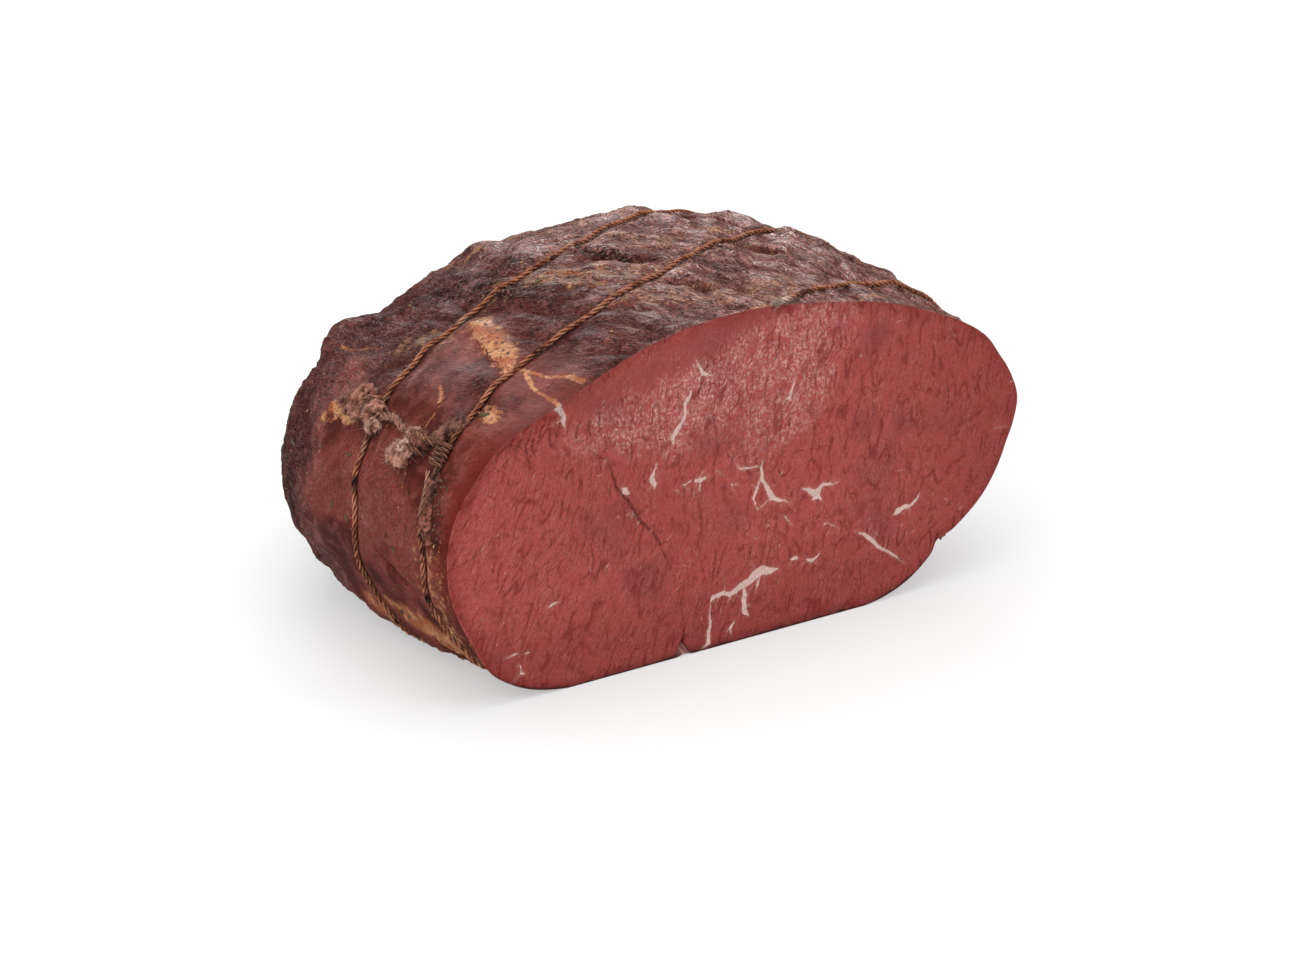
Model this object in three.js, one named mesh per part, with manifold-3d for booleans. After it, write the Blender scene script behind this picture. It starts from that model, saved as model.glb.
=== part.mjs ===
// Half of an air-dried, smoked beef muscle, tied with kitchen string and cut across.
// Millimetres, +Z up. The cut face looks to -Y, the muscle runs back along +Y, and X is
// the width of the cut. The origin is the middle of the bounding box, on its underside.
import * as THREE from "three";
import { mergeVertices } from "three/addons/utils/BufferGeometryUtils.js";
import Module from "manifold-3d";

const wasm = await Module();
wasm.setup();
const { Manifold, Mesh } = wasm;

// The whole part is moved by this much, so that the origin is under its middle.
const CENTRE_X = -4.5;
const CENTRE_Y = -71.2;

// Outline of the cut face, seen from the front and going clockwise from the lower left:
// across, up, and how far behind the cut the first string runs there.
const CUT_OUTLINE = [
  [-52.0, 0.0, 5.5],
  [-71.0, 6.5, 8.0],
  [-79.5, 18.5, 13.0],
  [-84.6, 31.0, 11.0],
  [-84.2, 44.0, 11.0],
  [-78.5, 54.6, 13.5],
  [-69.0, 63.5, 15.0],
  [-53.8, 69.9, 20.5],
  [-28.5, 79.5, 23.0],
  [-2.6, 82.8, 32.0],
  [24.7, 80.5, 48.0],
  [48.7, 75.2, 59.0],
  [72.4, 64.5, 61.0],
  [83.8, 49.7, 61.5],
  [84.2, 39.2, 59.5],
  [75.8, 22.7, 53.5],
  [62.0, 11.8, 45.5],
  [48.4, 2.6, 39.5],
  [30.0, -0.5, 31.5],
  [-10.0, -0.5, 15.5],
];
const FACE_HEIGHT = 83;

// Sections along the muscle: depth of the middle, sideways shift, width and height as a
// share of the cut face, and lift off the table. The second is at the first string and
// the third at the second string.
const SECTIONS = [
  [0.0, 0.0, 1.0, 1.0, 0.0],
  [31.2, 4.6, 1.055, 1.041, 0.3],
  [61.5, 0.9, 0.999, 1.08, -2.4],
  [98.9, -12.3, 0.771, 0.889, 2.0],
  [121.8, -17.7, 0.47, 0.61, 8.0],
  [134.0, -20.0, 0.26, 0.36, 18.5],
];
const TIP_DEPTH = 138;
const TIP_SHIFT = -21;
const TIP_STATION = SECTIONS.length;

// Swellings of the muscle: place round, place along, spread round, spread along, height.
const SWELLINGS = [
  [6.95, 3.12, 0.45, 0.25, 4.2],
  [3.0, 2.9, 0.8, 0.4, 0.6],
  [5.0, 2.9, 1.2, 0.5, -1.0],
  [7.9, 3.0, 0.9, 0.5, -1.4],
  [8.9, 2.8, 0.4, 0.22, 2.8],
  [10.2, 2.35, 0.5, 0.3, 1.6],
  [5.5, 1.5, 2.5, 0.3, 1.0],
  [11.1, 0.85, 0.7, 0.3, 1.6],
];

// String and the dent that it presses into the meat.
const STRING_RADIUS = 0.7;
const GAP = 0.3;
const SIMPLER = 0.08;
const DENT_DEPTH = 1.5;
const DENT_FLOOR = 1.25;
const DENT_EDGE = 4;
const BASE_DENT_ROOF = 2.1;
const STRING_BASE_HEIGHT = 0.85;
const STRING_SINK = 0.35;

// Mesh of the meat.
const STEPS_PER_OUTLINE_POINT = 5;
const TURNS = CUT_OUTLINE.length * STEPS_PER_OUTLINE_POINT;
const DENT_LINES = [-2.6, -DENT_FLOOR, 0, DENT_FLOOR, 2.6];
const FRONT_BANDS = 5;
const MIDDLE_BANDS = 6;
const REAR_BANDS = 10;
const TIP_LINES = [0.35, 0.6, 0.8, 0.93, 0.985];
const FACE_RINGS = 6;
const FACE_MIDDLE = [5, 38];

// Catmull-Rom blend of four values.
function blend(a, b, c, d, t) {
  const straight = 2 * b + (c - a) * t;
  const curved = (2 * a - 5 * b + 4 * c - d) * t * t;
  const cubic = (3 * b - a - 3 * c + d) * t * t * t;
  return 0.5 * (straight + curved + cubic);
}

function blendRows(rows, t) {
  return rows[0].map((_, k) => blend(rows[0][k], rows[1][k], rows[2][k], rows[3][k], t));
}

// The outline's across, up and string depth at a turn from 0 to the number of its points.
function outlineAt(turn) {
  const count = CUT_OUTLINE.length;
  const wrapped = ((turn % count) + count) % count;
  const first = Math.floor(wrapped);
  const rows = [-1, 0, 1, 2].map((k) => CUT_OUTLINE[(first + k + count) % count]);
  return blendRows(rows, wrapped - first);
}

// A section's row at a station from 0 to the last section, with straight run-outs.
function sectionAt(station) {
  const last = SECTIONS.length - 1;
  const held = Math.min(Math.max(station, 0), last - 1e-9);
  const first = Math.floor(held);
  const row = (i) => {
    if (i < 0) return SECTIONS[0].map((v, k) => 2 * v - SECTIONS[1][k]);
    if (i > last) return SECTIONS[last].map((v, k) => 2 * v - SECTIONS[last - 1][k]);
    return SECTIONS[i];
  };
  return blendRows([first - 1, first, first + 1, first + 2].map(row), held - first);
}

const MEAN_STRING_DEPTH = SECTIONS[1][0];

// The smooth muscle: the outline carried along the sections and closed on the tip.
function smoothPoint(turn, station) {
  const [across, up, stringDepth] = outlineAt(turn);
  const [depth, shift, width, height, lift] = sectionAt(station);
  const closing = Math.min(Math.max(station - SECTIONS.length + 1, 0), 1);
  const shrink = Math.sqrt(1 - closing * closing);
  const middle = 0.5 * FACE_HEIGHT * height;
  const lean = ((width * shrink) / SECTIONS[1][2]) * (stringDepth - MEAN_STRING_DEPTH);
  const x = shift + (TIP_SHIFT - shift) * closing + width * shrink * across;
  const z = lift + middle + shrink * (height * up - middle);
  const back = depth + (TIP_DEPTH - depth) * closing + lean;
  return new THREE.Vector3(x, station < 1 ? station * stringDepth : back, z);
}

// Outward normal of the smooth muscle, from differences either side.
function outward(turn, station) {
  const step = 1e-3;
  const ahead = smoothPoint(turn, Math.min(station + step, TIP_STATION - step));
  const behind = smoothPoint(turn, Math.max(station - step, 0));
  const round = smoothPoint(turn + step, station).sub(smoothPoint(turn - step, station));
  return round.cross(ahead.sub(behind)).normalize();
}

// Millimetres along the muscle from a string to a station.
function fromString(turn, station, string) {
  const spacing = SECTIONS[string + 1][0] - SECTIONS[string][0];
  const ahead = string === 1 ? outlineAt(turn)[2] : SECTIONS[2][0] - SECTIONS[1][0];
  return (station - string) * (station < string ? ahead : spacing);
}

// Depth of the dents under both strings: flat in the middle, sloping out to nothing.
function dent(turn, station) {
  const depths = [1, 2].map((string) => {
    const away = Math.abs(fromString(turn, station, string));
    return DENT_DEPTH * THREE.MathUtils.clamp((DENT_EDGE - away) / (DENT_EDGE - DENT_FLOOR), 0, 1);
  });
  return Math.max(...depths);
}

// Swellings of the muscle and the crags of its dried surface.
function swelling(turn, station, point) {
  const count = CUT_OUTLINE.length;
  let height = 0;
  for (const [round, along, roundSpread, alongSpread, rise] of SWELLINGS) {
    const turned = ((turn - round + 1.5 * count) % count) - 0.5 * count;
    const far = (turned / roundSpread) ** 2 + ((station - along) / alongSpread) ** 2;
    height += rise * Math.exp(-far);
  }
  const { x, y, z } = point;
  const broad = Math.sin(0.21 * x + 0.13 * z + 1.3) * Math.sin(0.17 * y + 0.11 * z);
  const narrow = Math.sin(0.41 * x - 0.23 * y + 0.3) * Math.sin(0.37 * z + 0.19 * y + 2.1);
  const fade = Math.min(station * 4, 1);
  return height + fade * (0.45 * broad + 0.35 * narrow);
}

// The dried surface: swollen, dented by the strings and pressed flat where it lies.
function surfacePoint(turn, station, lift = 0, withDents = true) {
  const point = smoothPoint(turn, station);
  const height = swelling(turn, station, point) - (withDents ? dent(turn, station) : 0);
  point.addScaledVector(outward(turn, station), height + lift);
  return point;
}

// Stations of the mesh lines at one turn. Near each string they keep their distance from it.
function stationsAt(turn) {
  const front = outlineAt(turn)[2];
  const middle = SECTIONS[2][0] - SECTIONS[1][0];
  const rear = SECTIONS[3][0] - SECTIONS[2][0];
  const edge = Math.min(DENT_EDGE, 0.7 * front);
  const stations = [];
  for (let i = 0; i <= FRONT_BANDS; i++) {
    stations.push((i / FRONT_BANDS) * (1 - edge / front));
  }
  for (const line of DENT_LINES) {
    stations.push(1 + (line * (line < 0 ? edge / DENT_EDGE : 1)) / (line < 0 ? front : middle));
  }
  for (let i = 0; i <= MIDDLE_BANDS; i++) {
    stations.push(1 + (DENT_EDGE + (i / MIDDLE_BANDS) * (middle - 2 * DENT_EDGE)) / middle);
  }
  for (const line of DENT_LINES) {
    stations.push(2 + line / (line < 0 ? middle : rear));
  }
  const afterStrings = 2 + DENT_EDGE / rear;
  for (let i = 0; i <= REAR_BANDS; i++) {
    stations.push(afterStrings + (i / REAR_BANDS) * (TIP_STATION - 1 - afterStrings));
  }
  for (const line of TIP_LINES) {
    stations.push(TIP_STATION - 1 + line);
  }
  return stations;
}

// A low swell of the muscle bundles on the cut face, nothing at its edge.
function faceSwell(x, z, inward) {
  return -0.7 * inward * Math.sin(0.09 * x + 0.8) * Math.sin(0.11 * z + 0.05 * x);
}

// Joins rings of equal length into one closed skin, with a point at each end.
function skin(firstPoint, rings, lastPoint) {
  const size = rings[0].length;
  const points = [firstPoint, ...rings.flat(), lastPoint];
  const index = [];
  const at = (ring, i) => 1 + ring * size + (i % size);
  for (let i = 0; i < size; i++) {
    index.push(0, at(0, i), at(0, i + 1));
    index.push(points.length - 1, at(rings.length - 1, i + 1), at(rings.length - 1, i));
  }
  for (let ring = 0; ring + 1 < rings.length; ring++) {
    for (let i = 0; i < size; i++) {
      const [a, b] = [at(ring, i), at(ring, i + 1)];
      const [c, d] = [at(ring + 1, i), at(ring + 1, i + 1)];
      index.push(a, c, d, a, d, b);
    }
  }
  const geometry = new THREE.BufferGeometry().setFromPoints(points);
  geometry.setIndex(index);
  return geometry;
}

// A geometry as a solid, turned right side out.
function solid(geometry) {
  const bare = geometry.clone();
  bare.deleteAttribute("normal");
  bare.deleteAttribute("uv");
  const merged = mergeVertices(bare, 1e-4);
  const vertProperties = new Float32Array(merged.attributes.position.array);
  const triVerts = new Uint32Array(merged.index.array);
  const made = new Manifold(new Mesh({ numProp: 3, vertProperties, triVerts }));
  if (made.volume() > 0) return made;
  return new Manifold(new Mesh({ numProp: 3, vertProperties, triVerts: triVerts.reverse() }));
}

// Rings of a round tube along points, with frames carried along without twist.
function tubeRings(points, radii, sides, closed) {
  const path = new THREE.CatmullRomCurve3(points, closed, "centripetal");
  const count = points.length;
  const tangents = points.map((_, i) => {
    const next = closed ? points[(i + 1) % count] : points[Math.min(i + 1, count - 1)];
    const last = closed ? points[(i + count - 1) % count] : points[Math.max(i - 1, 0)];
    return next.clone().sub(last).normalize();
  });
  const hint = path.getTangent(0).cross(new THREE.Vector3(0.3, 0.2, 0.93)).normalize();
  let side = hint;
  return points.map((point, i) => {
    const tangent = tangents[i];
    side = side.clone().addScaledVector(tangent, -side.dot(tangent)).normalize();
    const third = tangent.clone().cross(side);
    return Array.from({ length: sides }, (_, k) => {
      const angle = (2 * Math.PI * k) / sides;
      const ring = point.clone();
      ring.addScaledVector(side, radii[i] * Math.cos(angle));
      return ring.addScaledVector(third, radii[i] * Math.sin(angle));
    });
  });
}

// A tube with a point at each end, along points, with a radius at each.
function tube(points, radii, sides = 6) {
  const rings = tubeRings(points, radii, sides, false);
  return solid(skin(points[0], rings, points[points.length - 1]));
}

// A closed loop of tube. The last ring meets the first at its nearest turn of the frame.
function loop(points, radius, sides = 5) {
  const rings = tubeRings(points, points.map(() => radius), sides, true);
  const count = rings.length;
  const lastRing = rings[count - 1];
  const distances = lastRing.map((_, turn) => rings[0][turn].distanceTo(lastRing[0]));
  const shift = distances.indexOf(Math.min(...distances));
  const index = [];
  const at = (ring, k) => {
    if (ring < count) return ring * sides + (k % sides);
    return (k + shift) % sides;
  };
  for (let ring = 0; ring < count; ring++) {
    for (let k = 0; k < sides; k++) {
      index.push(at(ring, k), at(ring + 1, k), at(ring + 1, k + 1));
      index.push(at(ring, k), at(ring + 1, k + 1), at(ring, k + 1));
    }
  }
  const geometry = new THREE.BufferGeometry().setFromPoints(rings.flat());
  geometry.setIndex(index);
  return solid(geometry);
}

// The meat's skin: rings of the cut face from its middle out, then the crust to the tip.
function meatSkin() {
  const lines = [];
  for (let i = 0; i < TURNS; i++) {
    const turn = i / STEPS_PER_OUTLINE_POINT;
    lines.push(
      stationsAt(turn).map((station) => {
        const point = surfacePoint(turn, station);
        const nearest = Math.min(
          Math.abs(fromString(turn, station, 1)),
          Math.abs(fromString(turn, station, 2)),
        );
        const roof = nearest < DENT_FLOOR + 0.1 ? BASE_DENT_ROOF : 0;
        point.z = Math.max(point.z, roof);
        return point;
      }),
    );
  }
  const crust = lines[0].map((_, k) => lines.map((line) => line[k]));
  crust[0].forEach((point) => {
    point.y = 0;
  });
  const [middleX, middleZ] = FACE_MIDDLE;
  const face = [];
  for (let ring = 1; ring < FACE_RINGS; ring++) {
    const share = ring / FACE_RINGS;
    face.push(
      crust[0].map((edge) => {
        const x = middleX + (edge.x - middleX) * share;
        const z = middleZ + (edge.z - middleZ) * share;
        return new THREE.Vector3(x, faceSwell(x, z, 1 - share), z);
      }),
    );
  }
  const middle = new THREE.Vector3(middleX, faceSwell(middleX, middleZ, 1), middleZ);
  const tip = surfacePoint(0, TIP_STATION - 1e-4, 0, false);
  return skin(middle, [...face, ...crust], tip);
}

// Points of a string that goes right round the muscle in its dent.
function loopPoints(station) {
  return Array.from({ length: TURNS }, (_, i) => {
    const point = surfacePoint(i / STEPS_PER_OUTLINE_POINT, station, -STRING_SINK, false);
    point.z = Math.max(point.z, STRING_BASE_HEIGHT);
    return point;
  });
}

// Points over the dried surface from one turn and station to another.
function surfaceRun(from, to, steps, lift) {
  return Array.from({ length: steps + 1 }, (_, i) => {
    const share = i / steps;
    const turn = from[0] + (to[0] - from[0]) * share;
    const station = from[1] + (to[1] - from[1]) * share;
    return surfacePoint(turn, station, lift);
  });
}

// The string that the slice cut through. It lies in a plane that leans back from the cut,
// from where it leaves the face's top edge to where it meets the lower right edge.
const CUT_STRING_TURNS = [9.4, 16.05];
const CUT_STRING_LEAN = 0.6;
const CUT_STRING_TOP = [9, 82];
const CUT_STRING_ACROSS = [0.797, 0.603];

function cutStringPoints(steps, lift) {
  const [from, to] = CUT_STRING_TURNS;
  return Array.from({ length: steps + 1 }, (_, i) => {
    const turn = from + ((to - from) * i) / steps;
    const [across, up, stringDepth] = outlineAt(turn);
    const offset =
      (across - CUT_STRING_TOP[0]) * CUT_STRING_ACROSS[0] +
      (up - CUT_STRING_TOP[1]) * CUT_STRING_ACROSS[1];
    const depth = Math.max(CUT_STRING_LEAN * offset, 0);
    const point = surfacePoint(turn, depth / stringDepth, lift, false);
    point.y = depth - Math.max(-CUT_STRING_LEAN * offset, 0) * 0.1;
    return point;
  });
}

// A knot: a squashed ball of turned string with two coils and a frayed tail.
function knot(place, size, tailEnd, extra) {
  const [turn, station] = place;
  const centre = surfacePoint(turn, station, 0.75 * size, false);
  const along = surfacePoint(turn, station + 0.08, 0.75 * size, false).sub(centre).normalize();
  const normal = outward(turn, station);
  const grown = size + extra;
  const ball = new THREE.IcosahedronGeometry(grown, 1);
  ball.scale(1, 1.15, 0.85);
  const turned = new THREE.Matrix4().makeBasis(along.clone().cross(normal), along, normal);
  ball.applyMatrix4(turned);
  ball.translate(centre.x, centre.y, centre.z);
  const coil = new THREE.TorusGeometry(0.95 * size, STRING_RADIUS + extra, 6, 12);
  coil.rotateX(Math.PI / 2);
  coil.applyMatrix4(turned);
  coil.translate(centre.x, centre.y, centre.z);
  const tail = surfaceRun(place, tailEnd, 5, 0.4 * size);
  const tailRadii = tail.map((_, i) => STRING_RADIUS * (1.3 - 0.15 * i) + extra);
  return Manifold.union([solid(ball), solid(coil), tube(tail, tailRadii, 5)]);
}

const FRONT_KNOT = [5.05, 1.13];
const FRONT_KNOT_SIZE = 3.0;
const FRONT_TAIL = [4.6, 1.45];
const FRONT_ROLL_END = [5.85, 1.0];
const REAR_KNOT = [5.33, 2.08];
const REAR_KNOT_SIZE = 3.4;
const REAR_TAIL = [4.75, 1.75];
const STRAND_END = [5.16, 1.34];
const STRAND_STEPS = 8;

// The front string: its loop, the knot, and the stretch by the knot that is crusted thick.
function frontString(extra) {
  const roll = surfaceRun(FRONT_KNOT, FRONT_ROLL_END, 6, 0.55);
  const rollRadii = roll.map((_, i) => 1.5 - 0.12 * i + extra);
  return Manifold.union([
    knot(FRONT_KNOT, FRONT_KNOT_SIZE, FRONT_TAIL, extra),
    tube(roll, rollRadii, 6),
  ]);
}

// The rear string's knot, with the strand that runs forward from it.
function rearString(extra) {
  const strand = surfaceRun(REAR_KNOT, STRAND_END, STRAND_STEPS, STRING_RADIUS + 0.25);
  return Manifold.union([
    knot(REAR_KNOT, REAR_KNOT_SIZE, REAR_TAIL, extra),
    tube(strand, strand.map(() => STRING_RADIUS + extra), 5),
  ]);
}

// The seam between two muscles: a shallow crease down the cut face that opens into a
// notch at the bottom edge. Across, up, half width.
const SEAM = [
  [-54.0, 64.5, 0.3],
  [-44.5, 56.5, 0.5],
  [-38.0, 45.5, 0.7],
  [-31.0, 37.5, 0.7],
  [-24.5, 28.0, 0.5],
  [-19.0, 15.5, 0.6],
  [-18.0, 7.0, 1.0],
  [-18.8, 2.5, 2.2],
  [-19.5, -1.5, 3.2],
];

function seamCutter() {
  const points = SEAM.map(([x, z]) => new THREE.Vector3(x, -0.1, z));
  return tube(points, SEAM.map(([, , half]) => half), 6);
}

// The nick in the lower right edge where the cut string comes back to the face.
const NICK = [61.5, 11.0];
const NICK_SIZE = 2.2;

function nickCutter() {
  const nick = new THREE.OctahedronGeometry(NICK_SIZE, 1);
  nick.scale(0.9, 1.6, 0.8);
  nick.translate(NICK[0] + 0.6, 1.2, NICK[1] - 0.6);
  return solid(nick);
}

function meshOf(name, made, colour, roughness) {
  const { numProp, vertProperties, triVerts } = made.getMesh();
  const geometry = new THREE.BufferGeometry();
  const positions = new Float32Array((vertProperties.length / numProp) * 3);
  for (let i = 0; i < positions.length; i++) {
    positions[i] = vertProperties[Math.floor(i / 3) * numProp + (i % 3)];
  }
  geometry.setAttribute("position", new THREE.BufferAttribute(positions, 3));
  geometry.setIndex(new THREE.BufferAttribute(triVerts, 1));
  geometry.translate(CENTRE_X, CENTRE_Y, 0);
  geometry.computeVertexNormals();
  const material = new THREE.MeshStandardMaterial({ color: colour, roughness, metalness: 0 });
  const mesh = new THREE.Mesh(geometry, material);
  mesh.name = name;
  return mesh;
}

const CUT_STRING_STEPS = 48;
const cutStringPath = cutStringPoints(CUT_STRING_STEPS, 0.1);
const cutStringRadii = cutStringPath.map(() => STRING_RADIUS);
const cutString = tube(cutStringPath, cutStringRadii, 5);
const cutStringSeat = tube(cutStringPath, cutStringRadii.map((r) => r + GAP), 6);

const frontLoop = loop(loopPoints(1), STRING_RADIUS);
const rearLoop = loop(loopPoints(2), STRING_RADIUS);
const frontTie = Manifold.union(frontLoop, frontString(0));
const rearTie = Manifold.union(rearLoop, rearString(0));
const seats = Manifold.union([cutStringSeat, frontString(GAP), rearString(GAP)]);
const openings = Manifold.union([seats, seamCutter(), nickCutter()]);
const meat = solid(meatSkin()).subtract(openings).simplify(SIMPLER);

const bresaola = new THREE.Group();
bresaola.name = "bresaola";
bresaola.add(meshOf("meat", meat, 0x9c4f49, 0.5));
bresaola.add(meshOf("string_front", frontTie, 0x8a5230, 0.85));
bresaola.add(meshOf("string_rear", rearTie, 0x8a5230, 0.85));
bresaola.add(meshOf("string_cut", cutString, 0x9a6238, 0.85));

export default bresaola;
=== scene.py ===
"""Half of an air-dried, smoked beef muscle tied with kitchen string, lying on its flat underside.

Lengths are millimetres in the muscle's own frame until a mesh is made: X runs across the cut face, Y back
along the muscle from the cut and Z up from the floor. A mesh is then moved by CENTRE and scaled to metres.
"""

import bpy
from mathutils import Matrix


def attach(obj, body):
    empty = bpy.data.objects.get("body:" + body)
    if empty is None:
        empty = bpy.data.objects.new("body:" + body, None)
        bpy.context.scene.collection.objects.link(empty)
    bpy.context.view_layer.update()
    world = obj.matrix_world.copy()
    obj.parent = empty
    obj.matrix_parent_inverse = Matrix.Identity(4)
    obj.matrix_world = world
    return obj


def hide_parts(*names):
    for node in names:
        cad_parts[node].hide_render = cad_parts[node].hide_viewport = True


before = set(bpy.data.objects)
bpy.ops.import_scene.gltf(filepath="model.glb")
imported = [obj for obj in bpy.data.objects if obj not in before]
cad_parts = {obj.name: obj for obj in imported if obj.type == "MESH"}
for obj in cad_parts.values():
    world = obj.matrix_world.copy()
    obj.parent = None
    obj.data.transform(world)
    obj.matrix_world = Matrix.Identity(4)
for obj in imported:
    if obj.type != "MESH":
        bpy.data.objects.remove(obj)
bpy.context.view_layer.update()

import logging
import math
from dataclasses import dataclass, field
from enum import Enum
from itertools import product

import bpy
import numpy as np
from mathutils import Vector

Array = np.ndarray
Fields = dict[str, Array]
Triple = tuple[float, float, float]
Material = bpy.types.Material
Node = bpy.types.Node
NodeTree = bpy.types.NodeTree
Socket = bpy.types.NodeSocket
Value = Socket | float | tuple

log = logging.getLogger("bresaola")

METRE = 0.001
# Millimetres past which the distance to a mark no longer counts.
FAR = 9.0
CENTRE = np.array([-4.5, -71.2, 0.0])
BODY = "root"
WHITE = (1.0, 1.0, 1.0, 1.0)
BLACK = (0.0, 0.0, 0.0, 1.0)


class Slot(Enum):
    """Material slots of the record, one for each kind of piece."""

    MEAT = "cured_meat"
    STRING = "kitchen_string"


# -------- small mathematics


def smoothstep(low: float, high: float, value: Array) -> Array:
    """Runs from 0 at low to 1 at high, level at both ends.

    Args:
        low: value that gives 0.
        high: value that gives 1; may be less than low.
        value: values to turn into shares.

    Returns:
        t * t * (3 - 2 t), with t the clamped share of the way from low to high.
    """
    t = np.clip((value - low) / (high - low), 0.0, 1.0)
    return t * t * (3.0 - 2.0 * t)


def unit(vectors: Array) -> Array:
    """The vectors scaled to length 1 along their last axis."""
    return vectors / np.maximum(np.linalg.norm(vectors, axis=-1, keepdims=True), 1e-12)


def catmull(rows: Array, first: Array, share: Array) -> Array:
    """Catmull-Rom blend of four neighbouring rows of a table.

    Args:
        rows: table whose rows are blended.
        first: four row numbers for each place, shape (4, ...).
        share: share of the way from the second of the four rows to the third.

    Returns:
        The blended rows, with the table's columns as last axis.
    """
    a, b, c, d = (rows[index] for index in first)
    t = share[..., None]
    straight = 2.0 * b + (c - a) * t
    curved = (2.0 * a - 5.0 * b + 4.0 * c - d) * t**2
    return 0.5 * (straight + curved + (3.0 * b - a - 3.0 * c + d) * t**3)


def path_field(points: Array, path: Array | tuple, normals: Array | None = None) -> Array:
    """Distance to a path of straight stretches, less the path's own half width there.

    Args:
        points: places to measure from, coordinates in the last axis.
        path: rows of coordinates followed by the half width.
        normals: directions along which an offset counts for a quarter only, or none.

    Returns:
        The smallest (distance - half width) over all stretches; negative inside the path.
    """
    closest = np.full(points.shape[:-1], 1e3)
    table = np.array(path, float)
    for start, end in zip(table[:-1], table[1:]):
        step = end[:-1] - start[:-1]
        share = np.clip(((points - start[:-1]) @ step) / max(step @ step, 1e-9), 0.0, 1.0)
        offset = points - start[:-1] - share[..., None] * step
        if normals is not None:
            offset = offset - 0.75 * np.sum(offset * normals, axis=-1, keepdims=True) * normals
        apart = np.linalg.norm(offset, axis=-1)
        closest = np.minimum(closest, apart - start[-1] - share * (end[-1] - start[-1]))
    return closest


def nearest(points: Array, paths: tuple | list, normals: Array | None = None) -> Array:
    """Distance to the nearest of several paths, as path_field gives it."""
    return np.minimum.reduce([path_field(points, path, normals) for path in paths])


@dataclass(frozen=True)
class Grain:
    """Seeded gradient noise: each corner of a unit lattice has a random slope, blended between corners."""

    seed: int

    def __call__(self, points: Array) -> Array:
        """The noise at points.

        Args:
            points: places, three coordinates in the last axis.

        Returns:
            Noise from about -1 to 1, 0 on average.
        """
        rng = np.random.default_rng(self.seed)
        order = rng.permutation(256)
        slopes = unit(rng.normal(size=(256, 3)))
        cell = np.floor(points).astype(np.int64)
        inside = points - cell
        fade = inside**3 * (inside * (inside * 6.0 - 15.0) + 10.0)
        total = np.zeros(points.shape[:-1])
        for corner in product((0, 1), repeat=3):
            x, y, z = np.moveaxis((cell + corner) & 255, -1, 0)
            slope = slopes[order[(order[(order[x] + y) & 255] + z) & 255]]
            weight = np.prod(np.where(np.array(corner) == 1, fade, 1.0 - fade), axis=-1)
            total += weight * np.sum(slope * (inside - corner), axis=-1)
        return 1.6 * total


def grains(points: Array, *seeds: int) -> Array:
    """One draw of noise for each seed, as the parts of a vector."""
    return np.stack([Grain(seed)(points) for seed in seeds], axis=-1)


# -------- the muscle's form


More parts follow.
